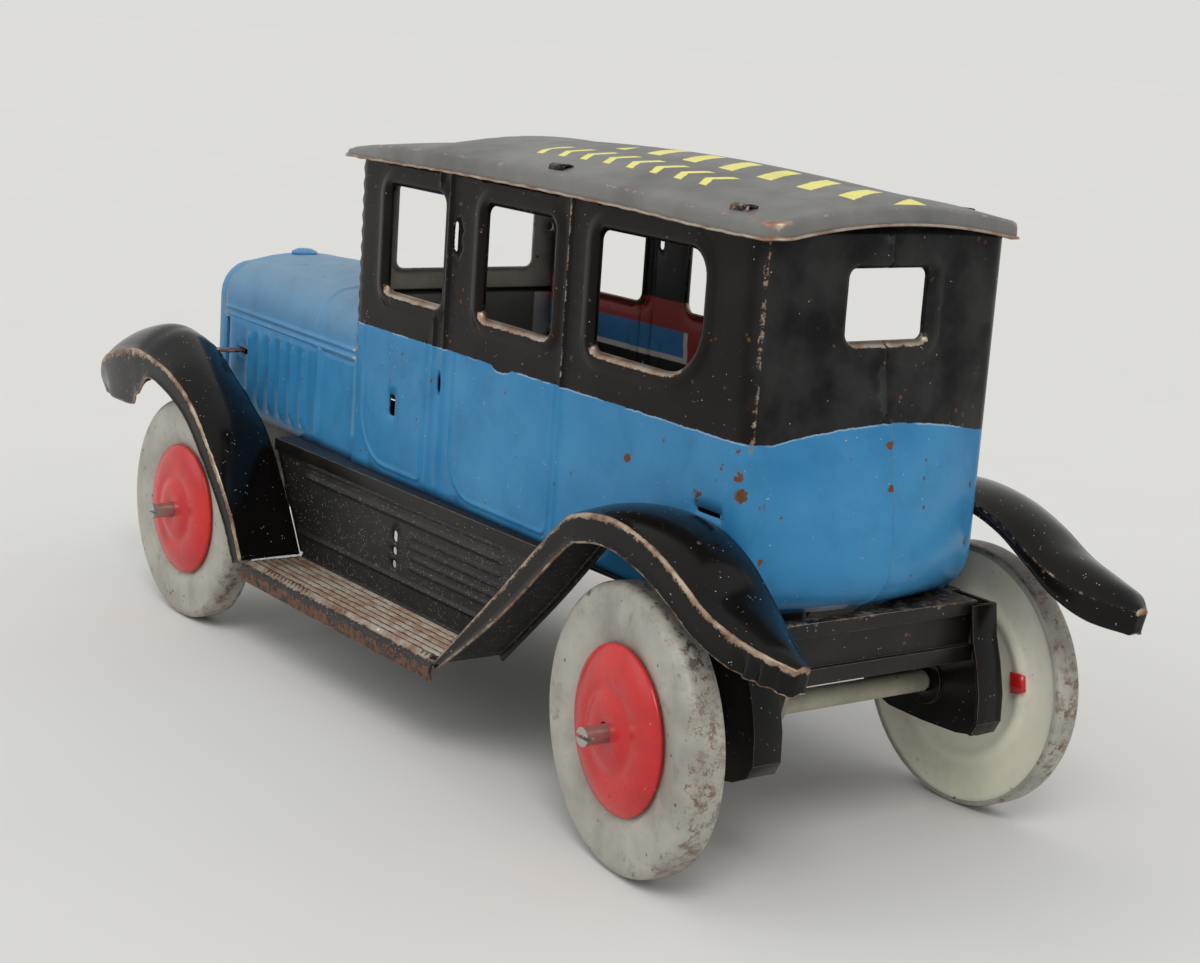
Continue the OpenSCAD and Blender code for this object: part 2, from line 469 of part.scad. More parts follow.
// Half the angle that a tooth fills at radius r, for n teeth
function tooth_half(n, r) = let (base = pitch_r(n) * cos(pressure), a = r <= base ? 0 : acos(base / r))
    90 / n + inv(pressure) - inv(a) - flank_gap / pitch_r(n) * 180 / PI;
flank_steps = 3;
module gear(n, x, z, y0, y1, turn, bore) translate([x, y1, z]) rotate([90, 0, 0]) difference() {
    linear_extrude(y1 - y0) rotate(turn) polygon([for (i = [0:n - 1]) each
        let (at = i * 360 / n, root = pitch_r(n) - dedendum, tip = pitch_r(n) + addendum,
             foot = max(root, pitch_r(n) * cos(pressure)))
        concat(
            [[root * cos(at - tooth_half(n, foot)), root * sin(at - tooth_half(n, foot))]],
            [for (q = [0:flank_steps]) let (r = foot + (tip - foot) * q / flank_steps, h = tooth_half(n, r))
                [r * cos(at - h), r * sin(at - h)]],
            [for (q = [flank_steps:-1:0]) let (r = foot + (tip - foot) * q / flank_steps, h = tooth_half(n, r))
                [r * cos(at + h), r * sin(at + h)]],
            [[root * cos(at + tooth_half(n, foot)), root * sin(at + tooth_half(n, foot))]])]);
    translate([0, 0, -1]) cylinder(r = bore, h = y1 - y0 + 2);
}
centre = pitch_r(gear_teeth) + pitch_r(pinion_teeth);
lay_at = 60;                // direction from the rear axle to the layshaft, up from forwards
fly_at = 80;                // direction from the layshaft to the flywheel
lay_x = rear_x + centre * cos(lay_at);
lay_z = axle_z + centre * sin(lay_at);
fly_x = lay_x + centre * cos(fly_at);
fly_z = lay_z + centre * sin(fly_at);
shaft_r = 1;
shaft_bore = shaft_r + 0.02;
plate_out_y = 20.5;         // inner face of the outer plate
plate_in_y = 8.9;           // facing face of the inner plate
plate_t = 0.8;
// Turning one gear by half a tooth from the line of centres puts its gap on the other's tooth.
// Extruded outlines are seen from +Y to -Y, so their angles run from +X towards +Z.
function meshed(n, at) = at + 180 + 180 / n;
module axle_gear() color(brass) gear(gear_teeth, rear_x, axle_z, 16.5, 19, lay_at, axle_d / 2 + 0.02);
module layshaft_pinion() color(steel)
    gear(pinion_teeth, lay_x, lay_z, 15.6, 19.6, meshed(pinion_teeth, lay_at), shaft_bore);
module layshaft_gear() color(brass) gear(gear_teeth, lay_x, lay_z, 10.6, 13.1, fly_at, shaft_bore);
module flywheel_pinion() color(steel)
    gear(pinion_teeth, fly_x, fly_z, 10, 14, meshed(pinion_teeth, fly_at), shaft_bore);
module layshaft() color(steel) pin_y(lay_x, lay_z, shaft_r, plate_in_y - 1.8, plate_out_y + 1.8);
module flywheel_shaft() color(steel) pin_y(fly_x, fly_z, shaft_r, -6.4, plate_out_y + 1.8);
module flywheel() color([0.35, 0.34, 0.33]) difference() {
    union() {
        pin_y(fly_x, fly_z, flywheel_d / 2, 5.5 - flywheel_w, 5.5);
        pin_y(fly_x, fly_z, 3, 5.5 - eps, 6.6);
    }
    pin_y(fly_x, fly_z, shaft_bore, -20, 20);
    for (y = [5.5 - flywheel_w, 5.5]) difference() {
        pin_y(fly_x, fly_z, flywheel_d / 2 - 3.5, y - 1.2, y + 1.2);
        pin_y(fly_x, fly_z, 4.5, y - 2, y + 2);
    }
}
motor_foot_x = [-52.5];
motor_foot_y = [5.2, 16.8];
rivet_r = 0.9;
plate_shape = [[-83, 21.4], [-81.8, 19.9], [-80, 19.3], [-78.2, 19.9], [-77, 21.4], [-66, 32], [-62, 40.6],
    [-56.4, 39.9], [-49, 39.9], [-49, 43.4], [-64, 48.6], [-70, 49.4], [-82, 46.6], [-86, 43.6], [-86, 34]];
pillars = [[-83.3, 43.2], [-65.5, 44.9], [-56.4, 43.3]];
module motor_plate(y0, foot_y0, foot_y1) color(steel) difference() {
    union() {
        upright(y0, y0 + plate_t) polygon(plate_shape);
        bar(-56, -49, foot_y0, foot_y1, deck_z, deck_z + plate_t);
    }
    pin_y(rear_x, axle_z, axle_d / 2 + running, y0 - 1, y0 + plate_t + 1);
    pin_y(lay_x, lay_z, shaft_r + running, y0 - 1, y0 + plate_t + 1);
    pin_y(fly_x, fly_z, shaft_r + running, y0 - 1, y0 + plate_t + 1);
    for (p = pillars) pin_y(p[0], p[1], 0.9, y0 - 1, y0 + plate_t + 1);
    for (x = motor_foot_x) for (y = motor_foot_y) translate([x, y, deck_z - 1]) cylinder(r = rivet_r + 0.02, h = 4);
}
module motor_plate_outer() motor_plate(plate_out_y, 14, plate_out_y + plate_t);
module motor_plate_inner() motor_plate(plate_in_y - plate_t, 2.4, plate_in_y);
module motor_pillars() color(steel) for (p = pillars) union() {
    pin_y(p[0], p[1], 1.6, plate_in_y, plate_out_y);
    pin_y(p[0], p[1], 0.88, plate_in_y - plate_t - 0.4, plate_out_y + plate_t + 0.4);
}
module motor_rivets() color(steel) for (x = motor_foot_x) for (y = motor_foot_y) translate([x, y, deck_z - tin]) union() {
    cylinder(r = rivet_r, h = tin + plate_t);
    translate([0, 0, tin + plate_t]) cylinder(r = rivet_r + 0.7, h = 0.6);
    translate([0, 0, -0.5]) cylinder(r = rivet_r + 0.6, h = 0.5);
}
sleeve_r = 1.8;
module axle_sleeve() color(back_cream) difference() {
    pin_y(rear_x, axle_z, sleeve_r, -bracket_y + 1.6, plate_in_y - plate_t - 0.4);
    pin_y(rear_x, axle_z, axle_d / 2 + 0.02, -30, 30);
}

chassis_tray();
running_board(1);  // running_board_left
running_board(-1);  // running_board_right
rear_fender(1);  // rear_fender_left
rear_fender(-1);  // rear_fender_right
front_fender(1);  // front_fender_left
front_fender(-1);  // front_fender_right
body_half(1);  // body_left
body_half(-1);  // body_right
windshield_panel();
hood_top();
radiator();
radiator_cap();
roof();
rear_bracket(1);  // rear_bracket_left
rear_bracket(-1);  // rear_bracket_right
front_hanger();
motor_plate_outer();
motor_plate_inner();
motor_pillars();
motor_rivets();
axle(rear_x);  // rear_axle
axle_sleeve();
axle_gear();
tyre(rear_x, 1);  // tyre_rear_left
wheel_back(rear_x, 1);  // wheel_back_rear_left
hub(rear_x, 1);  // hub_rear_left
tyre(rear_x, -1);  // tyre_rear_right
wheel_back(rear_x, -1);  // wheel_back_rear_right
hub(rear_x, -1);  // hub_rear_right
axle(front_x);  // front_axle
tyre(front_x, 1);  // tyre_front_left
wheel_back(front_x, 1);  // wheel_back_front_left
hub(front_x, 1);  // hub_front_left
tyre(front_x, -1);  // tyre_front_right
wheel_back(front_x, -1);  // wheel_back_front_right
hub(front_x, -1);  // hub_front_right
layshaft();
layshaft_pinion();
layshaft_gear();
flywheel_shaft();
flywheel_pinion();
flywheel();
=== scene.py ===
import json
import math

import bmesh
import bpy
import numpy as np
from mathutils import Matrix, Vector, geometry, kdtree

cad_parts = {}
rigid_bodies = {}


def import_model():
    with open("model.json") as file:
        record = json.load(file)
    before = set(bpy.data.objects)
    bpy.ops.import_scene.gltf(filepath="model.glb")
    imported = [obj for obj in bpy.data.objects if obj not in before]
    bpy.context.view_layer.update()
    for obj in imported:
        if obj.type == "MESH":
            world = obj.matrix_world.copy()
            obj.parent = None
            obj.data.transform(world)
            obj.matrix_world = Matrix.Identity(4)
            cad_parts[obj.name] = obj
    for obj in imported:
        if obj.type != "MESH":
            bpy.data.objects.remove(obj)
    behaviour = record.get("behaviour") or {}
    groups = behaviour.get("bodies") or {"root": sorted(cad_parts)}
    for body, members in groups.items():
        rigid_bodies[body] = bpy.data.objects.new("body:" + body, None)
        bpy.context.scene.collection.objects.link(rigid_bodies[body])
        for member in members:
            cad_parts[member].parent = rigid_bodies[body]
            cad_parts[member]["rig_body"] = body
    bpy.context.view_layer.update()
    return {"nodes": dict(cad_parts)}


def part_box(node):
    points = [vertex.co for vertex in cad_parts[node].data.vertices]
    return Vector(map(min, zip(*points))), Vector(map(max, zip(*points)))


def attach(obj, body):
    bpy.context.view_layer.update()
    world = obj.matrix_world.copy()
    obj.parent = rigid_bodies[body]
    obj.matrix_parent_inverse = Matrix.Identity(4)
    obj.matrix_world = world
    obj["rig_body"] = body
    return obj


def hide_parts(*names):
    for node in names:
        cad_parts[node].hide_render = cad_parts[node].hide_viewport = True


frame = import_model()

# The looks of a 1920s friction-drive tin sedan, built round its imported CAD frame.
# Lengths are in millimetres in this script, and piece() turns them into metres.
# +X is the front of the car, +Y its left side. Left pieces are drawn, and right ones are mirrored.

MM = 0.001
SIDES = {"left": 1, "right": -1}
BODY = "car"
SHEET = 0.45                    # thickness of the drawn tin


def low(node):
    return np.array(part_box(node)[0]) / MM


def high(node):
    return np.array(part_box(node)[1]) / MM


# ---- places, from the frame ----
DECK_Z = low("body_left")[2]
EAVES_Z = high("body_left")[2]
HOOD_FRONT = high("body_left")[0]
HALF_REAR = high("body_left")[1]
AXLE_Z = (low("rear_axle")[2] + high("rear_axle")[2]) / 2
REAR_X = (low("rear_axle")[0] + high("rear_axle")[0]) / 2
FRONT_X = (low("front_axle")[0] + high("front_axle")[0]) / 2
AXLE_R = (high("rear_axle")[2] - low("rear_axle")[2]) / 2
WHEEL_R = high("tyre_rear_left")[2] - AXLE_Z
FACE_Y = high("tyre_rear_left")[1]
HUB_R = high("hub_rear_left")[2] - AXLE_Z
CABIN_FRONT = low("hood_top")[0] - 0.2
HOOD_SIDE_Z = low("hood_top")[2]


# ======== curves and distances in a plane ========
def smooth_step(x, a, b):
    """0 up to a, 1 from b."""
    t = np.clip((np.asarray(x, float) - a) / (b - a), 0, 1)
    return t * t * (3 - 2 * t)


def fade(x, a, b):
    """1 up to a, 0 from b."""
    return smooth_step(-x, -b, -a)


def most(*layers):
    """The greatest of several values at each point."""
    return np.maximum.reduce(np.broadcast_arrays(*layers))


def swell(distance, width):
    """The height of a half-round bead: 1 on its line, 0 from width outwards."""
    return 0.5 + 0.5 * np.cos(np.pi * np.clip(distance / width, 0, 1))


def arc(cx, cy, r, start, end, steps=8):
    return [(cx + r * math.cos(math.radians(a)), cy + r * math.sin(math.radians(a)))
            for a in np.linspace(start, end, steps + 1)]


def walk(line, step, closed=False):
    """The line again, with points about a step apart and every corner kept."""
    line = np.asarray(line, float)
    if closed:
        line = np.vstack([line, line[:1]])
    out = []
    for a, b in zip(line[:-1], line[1:]):
        n = max(1, int(round(np.linalg.norm(b - a) / step)))
        out += [a + (b - a) * k / n for k in range(n)]
    return np.array(out if closed else out + [line[-1]])


def rounded(x0, x1, z0, z1, radii, grow=0.0, step=0.9):
    """A closed rounded rectangle. Radii: rear-low, front-low, front-high, rear-high."""
    x0, x1, z0, z1 = x0 - grow, x1 + grow, z0 - grow, z1 + grow
    a, b, c, d = (r + grow for r in radii)
    points = (arc(x0 + a, z0 + a, a, 270, 180) + arc(x0 + d, z1 - d, d, 180, 90)
              + arc(x1 - c, z1 - c, c, 90, 0) + arc(x1 - b, z0 + b, b, 0, -90))
    return walk(points, step, closed=True)


def inside(points, loop):
    """Which points lie inside a closed loop."""
    x, y = points[:, :1], points[:, 1:2]
    ax, ay = loop[:, 0], loop[:, 1]
    bx, by = np.roll(ax, -1), np.roll(ay, -1)
    crosses = (ay > y) != (by > y)
    at = ax + (y - ay) * (bx - ax) / np.where(by == ay, 1e-12, by - ay)
    return (crosses & (x < at)).sum(1) % 2 == 1


def distance(points, line, closed=False):
    """How far each point is from a line of points."""
    line = np.asarray(line, float)
    if closed:
        line = np.vstack([line, line[:1]])
    best = np.full(len(points), 1e9)
    for a, b in zip(line[:-1], line[1:]):
        v = b - a
        t = np.clip(((points - a) @ v) / max(v @ v, 1e-12), 0, 1)
        best = np.minimum(best, np.linalg.norm(points - a - t[:, None] * v, axis=1))
    return best


def beside(line, offset):
    """The line moved sideways, to its left as it runs."""
    line = np.asarray(line, float)
    return line + offset * outward(line)


def outward(path):
    """The directions square to a line, to its left as it runs."""
    run = np.gradient(path, axis=0)
    run /= np.linalg.norm(run, axis=1)[:, None]
    return np.column_stack([-run[:, 1], run[:, 0]])


def run_length(path):
    """How far along the path each of its points is."""
    return np.concatenate([[0], np.cumsum(np.linalg.norm(np.diff(path, axis=0), axis=1))])


def rows_beside(line, width, step=0.8):
    """Rows of points along both flanks of a bead."""
    line = walk(line, step)
    return [beside(line, width * k) for k in (-1.15, -0.75, -0.35, 0, 0.35, 0.75, 1.15)]


def search_tree(points):
    tree = kdtree.KDTree(len(points))
    for k, p in enumerate(points):
        tree.insert((p[0], p[1], 0), k)
    tree.balance()
    return tree


def clear_of(others, points, gap):
    """The points that lie more than gap away from the others."""
    tree = search_tree(others)
    return np.array([p for p in points if tree.find((p[0], p[1], 0))[2] > gap]).reshape(-1, 2)


def flat_sheet(outline, holes, rows, pitch):
    """Triangles of a flat outline with holes. Points lie on these loops, on rows and on a lattice between."""
    loops = [np.asarray(loop, float) for loop in [outline] + holes]

    def on_sheet(points):
        keep = inside(points, loops[0])
        for hole in loops[1:]:
            keep &= ~inside(points, hole)
        return keep

    border, extra = np.vstack(loops), np.vstack([np.zeros((0, 2))] + rows)
    fixed = np.vstack([border, clear_of(border, extra[on_sheet(extra)], 0.04)])
    (x0, y0), (x1, y1) = loops[0].min(0), loops[0].max(0)
    lattice = np.array([(x + (pitch / 2 if j % 2 else 0), y)
                        for j, y in enumerate(np.arange(y0, y1, pitch * 0.87))
                        for x in np.arange(x0, x1, pitch)])
    points = np.vstack([fixed, clear_of(fixed, lattice[on_sheet(lattice)], pitch * 0.6)])
    lines, first = [], 0
    for loop in loops:
        lines += [(first + k, first + (k + 1) % len(loop)) for k in range(len(loop))]
        first += len(loop)
    made = geometry.delaunay_2d_cdt([Vector(p) for p in points], lines, [], 0, 1e-4)
    points = np.array([v[:] for v in made[0]])
    faces = np.array([f for f in made[2] if len(f) == 3])
    faces = faces[on_sheet(points[faces].mean(1))]
    used = np.unique(faces)
    renumber = np.full(len(points), -1)
    renumber[used] = np.arange(len(used))
    return points[used], renumber[faces]


# ======== pieces ========
def add_object(name, data):
    obj = bpy.data.objects.new(name, data)
    bpy.context.scene.collection.objects.link(obj)
    return obj


def piece(name, verts, faces, looks, body, stands_for=(), slot=None, thickness=0.0, crease=40, **values):
    """One mesh that rides on a CAD body. looks names its material, and on a sheet the one of its back.
    values are numbers for the shaders, one or one per point."""
    mesh = bpy.data.meshes.new(name)
    mesh.from_pydata((np.asarray(verts, float) * MM).tolist(), [], [list(map(int, f)) for f in faces])
    looks = looks.split()
    for look in looks:
        mesh.materials.append(LOOKS[look])
    for key in ("wear", "rust", "belt"):
        numbers = np.full(len(mesh.vertices), values.get(key, 0.0), np.float32)
        mesh.attributes.new(key, "FLOAT", "POINT").data.foreach_set("value", numbers)
    mesh.shade_smooth()
    mesh.set_sharp_from_angle(angle=math.radians(crease))
    obj = add_object(name, mesh)
    if thickness:
        solid = obj.modifiers.new("sheet", "SOLIDIFY")
        solid.thickness = thickness * MM
        solid.offset = -1
        solid.use_even_offset = False
        solid.material_offset = len(looks) - 1
    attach(obj, body)
    if stands_for:
        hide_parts(*stands_for)
    return obj


def tin(name, verts, faces, looks, stands_for, slot, **values):
    """A pressed sheet of the car's body."""
    return piece(name, verts, faces, looks, BODY, stands_for, slot, SHEET, 50, **values)


def mirrored(verts, faces, side):
    """A left piece as it is, or as the right piece that matches it."""
    verts, faces = np.array(verts, float), [list(f) for f in faces]
    if side < 0:
        verts[:, 1] *= -1
        faces = [f[::-1] for f in faces]
    return verts, faces


def grid_faces(rows, columns):
    return [(k, k + 1, k + columns + 1, k + columns)
            for r in range(rows - 1) for k in range(r * columns, (r + 1) * columns - 1)]


def orient_up(verts, faces):
    """The same faces, each loop turned so that neighbours agree and the sheet faces upwards."""
    mesh = bmesh.new()
    made = [mesh.verts.new(v) for v in verts]
    for f in faces:
        try:
            mesh.faces.new([made[i] for i in f])
        except ValueError:
            continue
    mesh.verts.index_update()
    bmesh.ops.recalc_face_normals(mesh, faces=mesh.faces)
    upward = sum(f.normal.z * f.calc_area() for f in mesh.faces)
    out = [[v.index for v in (f.verts if upward > 0 else reversed(f.verts))] for f in mesh.faces]
    mesh.free()
    return out


def strip(path, width, across):
    """A flat strip of tin that follows a path, as points and faces."""
    path, across = np.asarray(path, float), np.asarray(across, float) * width / 2
    verts = np.vstack([np.array([p - across, p, p + across]) for p in path])
    return verts, grid_faces(len(path), 3)


def worn_copy(node, look, slot, width=0.16, rubbed=None):
    """A copy of a CAD node with its sharp edges rounded and worn. rubbed picks other worn points."""
    mesh = bmesh.new()
    mesh.from_mesh(frame["nodes"][node].data)
    bmesh.ops.remove_doubles(mesh, verts=mesh.verts, dist=1e-6)
    bmesh.ops.dissolve_limit(mesh, angle_limit=math.radians(2), verts=mesh.verts, edges=mesh.edges)
    sharp = [e for e in mesh.edges if e.is_manifold and e.calc_face_angle(0) > math.radians(30)]
    bevel = bmesh.ops.bevel(mesh, geom=sharp, offset=width * MM, offset_type="OFFSET", segments=2,
                            profile=0.5, affect="EDGES", clamp_overlap=True)
    rounded_faces = set(bevel["faces"])
    bmesh.ops.triangulate(mesh, faces=[f for f in mesh.faces if len(f.verts) > 4])
    mesh.verts.index_update()
    rounded_faces = {f for f in mesh.faces if f in rounded_faces}
    wear = [1.0 if all(f in rounded_faces for f in v.link_faces) else 0.0 for v in mesh.verts]
    verts = [np.array(v.co) / MM for v in mesh.verts]
    if rubbed:
        wear = [max(w, 0.55 * rubbed(v)) for w, v in zip(wear, verts)]
    faces = [[v.index for v in f.verts] for f in mesh.faces]
    mesh.free()
    body = frame["nodes"][node]["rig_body"]
    return piece(f"{node}_tin", verts, faces, look, body, (node,), slot, crease=30, wear=wear)


# ======== materials ========
def srgb(*levels):
    """A screen colour, 0 to 255, as the linear one that shaders take."""
    shares = [c / 255 for c in levels]
    return tuple(c / 12.92 if c <= 0.04045 else ((c + 0.055) / 1.055) ** 2.4 for c in shares) + (1,)


class Look:
    """A procedural material: a Principled shader and the nodes that feed it, in millimetres."""

    def __init__(self, name, **fixed):
        self.material = bpy.data.materials.new(name)
        self.material.use_nodes = True
        self.tree = self.material.node_tree
        self.tree.nodes.clear()
        self.shader = self.node("ShaderNodeBsdfPrincipled")
        for key, value in fixed.items():
            self.put(self.shader.inputs[key.replace("_", " ")], value)
        self.node("ShaderNodeOutputMaterial", {"Surface": self.shader.outputs[0]})
        inputs = {0: self.node("ShaderNodeTexCoord").outputs["Object"], "Scale": 1 / MM}
        self.place = self.node("ShaderNodeVectorMath", inputs, operation="SCALE").outputs[0]

    def node(self, kind, inputs=None, **settings):
        """A new node, with values or links put in its inputs."""
        made = self.tree.nodes.new(kind)
        for key, value in settings.items():
            setattr(made, key, value)
        for key, value in (inputs or {}).items():
            self.put(made.inputs[key], value)
        return made

    def put(self, socket, value):
        if isinstance(value, bpy.types.NodeSocket):
            self.tree.links.new(value, socket)
        else:
            socket.default_value = value

    def axis(self, name):
        return self.node("ShaderNodeSeparateXYZ", {0: self.place}).outputs[name]

    def value(self, name):
        return self.node("ShaderNodeAttribute", attribute_name=name).outputs["Fac"]

    def moved(self, operation, by):
        """The place, stretched or shifted."""
        return self.node("ShaderNodeVectorMath", {0: self.place, 1: by}, operation=operation).outputs[0]

    def noise(self, size, detail=3.0, rough=0.55, stretch=None, seed=0.0):
        place = self.moved("MULTIPLY", stretch) if stretch else self.place
        inputs = {"Vector": place, "W": seed, "Scale": 1 / size, "Detail": detail, "Roughness": rough}
        return self.node("ShaderNodeTexNoise", inputs, noise_dimensions="4D").outputs["Fac"]

    def cells(self, size, shift):
        """The distance to the nearest of some scattered points, about a size apart."""
        place = self.moved("ADD", (shift, shift * 1.7, shift * 0.6))
        inputs = {"Vector": place, "Scale": 1 / size}
        return self.node("ShaderNodeTexVoronoi", inputs, feature="F1").outputs["Distance"]

    def math(self, operation, a, b=0.0, c=0.0):
        return self.node("ShaderNodeMath", {0: a, 1: b, 2: c}, operation=operation).outputs[0]

    def step(self, value, start, end):
        """0 at start, 1 at end and smooth between. start may be above end."""
        flip = float(start > end)
        inputs = {"Value": value, "From Min": min(start, end), "From Max": max(start, end), "To Min": flip,
                  "To Max": 1 - flip}
        return self.node("ShaderNodeMapRange", inputs, interpolation_type="SMOOTHSTEP").outputs[0]

    def all_of(self, first, *others):
        for other in others:
            first = self.math("MULTIPLY", first, other)
        return first

    def any_of(self, first, *others):
        for other in others:
            first = self.math("MAXIMUM", first, other)
        return first

    def mix(self, mask, a, b):
        return self.node("ShaderNodeMix", {0: mask, 6: a, 7: b}, data_type="RGBA").outputs[2]

    def blend(self, mask, a, b):
        return self.node("ShaderNodeMix", {0: mask, 2: a, 3: b}, data_type="FLOAT").outputs[0]

    def specks(self, size, share, seed):
        """Small scattered spots: a spot in each cell, kept where a broad noise is high."""
        spot = self.step(self.cells(size, seed), 0.26, 0.16)
        return self.all_of(spot, self.step(self.noise(size * 2.2, 1, seed=seed), 0.72 - share, 0.76 - share))

    def finish(self, colour, rough, metal=0.0, height=None, depth=0.02):
        inputs = {"Base Color": colour, "Roughness": rough, "Metallic": metal}
        if height is not None:
            relief = {"Strength": 1.0, "Distance": depth * MM, "Height": height}
            inputs["Normal"] = self.node("ShaderNodeBump", relief).outputs[0]
        for key, value in inputs.items():
            self.put(self.shader.inputs[key], value)
        return self.material


RUST_DARK = srgb(70, 42, 30)
RUST_LIGHT = srgb(128, 88, 62)
GRIME = srgb(26, 21, 18)
PALE_DUST_AND_GLINT = srgb(190, 188, 180)
COPPER_AND_TIN = (srgb(150, 116, 96), srgb(176, 166, 152))


def old_enamel(name, paint, gloss=0.3, chips=0.10, bare=COPPER_AND_TIN, peel=0.02, dust_and_glints=0.05,
               dust_and_glint_colour=PALE_DUST_AND_GLINT, **fixed):
    """Printed tin enamel with specks, chips, rust and edges worn to the metal. paint(look) gives its colour.
    On the dark enamels the pale specks are partly dusty dirt and partly painted glints of light, and some of
    the bare metal is a painted highlight.
    chips and the share of specks say how much they cover, peel is the depth of the texture, bare holds the
    metal's tones."""
    look = Look(name, **fixed)
    colour = paint(look)
    grime = look.step(look.noise(9, 5, 0.7, seed=2), 0.45, 0.75)
    colour = look.mix(look.math("MULTIPLY", grime, 0.2), colour, GRIME)
    # Specks: the pale ones on the dark enamels are partly dust and partly painted glints of light on a rough
    # skin.
    dust_and_glint_specks = look.specks(0.5, dust_and_glints, 3.3)
    colour = look.mix(look.math("MULTIPLY", dust_and_glint_specks, 0.7), colour, dust_and_glint_colour)
    chip = look.specks(1.7, chips, 9.1)
    ragged = look.noise(1.3, 4, 0.7, seed=4)
    eaten = look.math("ADD", look.value("rust"), look.math("MULTIPLY_ADD", ragged, 1.1, -0.55))
    rust = look.step(eaten, 0.42, 0.56)
    rust = look.any_of(rust, look.all_of(chip, look.step(ragged, 0.40, 0.55)))
    rust_colour = look.mix(look.noise(0.9, 3, seed=6), RUST_DARK, RUST_LIGHT)
    colour = look.mix(rust, colour, rust_colour)
    scuffed = look.math("MULTIPLY_ADD", look.noise(1.7, 6, 0.8, seed=8), 1.5, -0.82)
    # Bare metal where the wear value is high: real wear, and also painted highlights that the value carries,
    # as on the body's rear corner.
    worn = look.step(look.math("ADD", look.value("wear"), scuffed), 0.46, 0.62)
    metal_colour = look.mix(look.step(look.noise(3.5, 3, 0.6, seed=11), 0.35, 0.65), *bare)
    colour = look.mix(worn, colour, metal_colour)
    rough = look.blend(look.noise(6, 4, seed=13), gloss * 0.75, gloss * 1.35)
    rough = look.blend(rust, rough, 0.85)
    rough = look.blend(worn, rough, 0.42)
    metal = look.math("MULTIPLY", worn, 0.75)
    skin = look.math("MULTIPLY", look.noise(0.8, 3, 0.6, seed=15), 0.35)
    height = look.math("ADD", skin, look.math("MULTIPLY", dust_and_glint_specks, 0.6))
    height = look.math("SUBTRACT", height, look.math("MULTIPLY", look.any_of(worn, rust), 1.2))
    return look.finish(colour, rough, metal, height, peel)


def tone(look, a, b, size=22, seed=1.0):
    """A colour that drifts between two, in patches of about a size."""
    return look.mix(look.step(look.noise(size, 3, 0.6, seed=seed), 0.3, 0.7), a, b)


def black_paint(look):
    return tone(look, srgb(9, 8, 8), srgb(20, 17, 15))


def chassis_paint(look):
    return tone(look, srgb(12, 11, 10), srgb(30, 25, 21), 12)


def blue_paint(look):
    return tone(look, srgb(46, 120, 170), srgb(66, 137, 184), 26)


def hood_paint(look):
    """Blue painted greyer and lighter towards the top of the hood, a painted sheen where the top faces the
    light.
    """
    # painted sheen: the upper part of the hood turns a lighter grey-blue
    lit_top = look.step(look.axis("Z"), 59, 70)
    return look.mix(look.math("MULTIPLY", lit_top, 0.7), blue_paint(look), srgb(104, 136, 158))


def two_tone_paint(look):
    """Blue below the belt and black above, with a thin pale line where the black starts."""
    ragged = look.math("MULTIPLY_ADD", look.noise(1.8, 4, 0.7, seed=21), 0.7, -0.35)
    belt = look.math("ADD", look.value("belt"), ragged)
    broken = look.step(look.noise(7, 2, seed=22), 0.42, 0.5)
    line = look.all_of(look.step(belt, -0.32, -0.2), look.step(belt, 0.0, -0.1), broken)
    lower = look.mix(line, blue_paint(look), srgb(140, 166, 186))
    side = tone(look, srgb(12, 9, 8), srgb(26, 20, 16), 14)
    # painted reflections: on the glossy rear face the black is painted lighter than on the side, in cloudy
    # grey patches
    rear = tone(look, srgb(9, 9, 10), srgb(46, 46, 46), 9)
    upper = look.mix(look.step(look.axis("X"), -86, -89), side, rear)
    return look.mix(look.step(belt, -0.05, 0.05), lower, upper)


def inside_paint(look):
    """The printed inside of the body's tin: black above, a red band, blue, a white line and black below."""
    z, x = look.axis("Z"), look.axis("X")
    black, red, blue, white = srgb(16, 15, 15), srgb(176, 62, 56), srgb(66, 140, 204), srgb(225, 225, 220)
    colour = look.mix(look.step(z, 64.2, 64.5), srgb(34, 32, 31), white)
    colour = look.mix(look.step(z, 65.2, 65.5), colour, blue)
    red_from = look.math("ADD", z, look.math("MULTIPLY", look.step(x, -12, -12.6), 6))
    colour = look.mix(look.step(red_from, 70.0, 70.4), colour, red)
    upright = look.all_of(look.step(x, -12.8, -12.4), look.step(x, -11.2, -11.6))
    border = look.all_of(upright, look.step(z, 70.4, 70.0), look.step(z, 64.2, 64.5))
    colour = look.mix(border, colour, white)
    return look.mix(look.step(z, 75.4, 75.7), colour, black)


def shield_paint(look):
    """The windshield's panel: grey-beige, with a painted shadow as a dark line under its ledge, then a grey
    panel in a pale border.
    """
    z, y = look.axis("Z"), look.axis("Y")
    border = look.all_of(look.step(z, 72.2, 71.9), look.step(look.math("ABSOLUTE", y), 17.0, 17.3))
    lower = look.mix(border, srgb(122, 124, 116), srgb(225, 225, 218))
    # painted shadow: a dark band where the ledge shades the panel below it
    lower = look.mix(look.step(z, 71.9, 72.2), lower, srgb(44, 42, 40))
    return look.mix(look.step(z, 73.0, 73.3), lower, tone(look, srgb(178, 173, 160), srgb(198, 192, 178), 10))


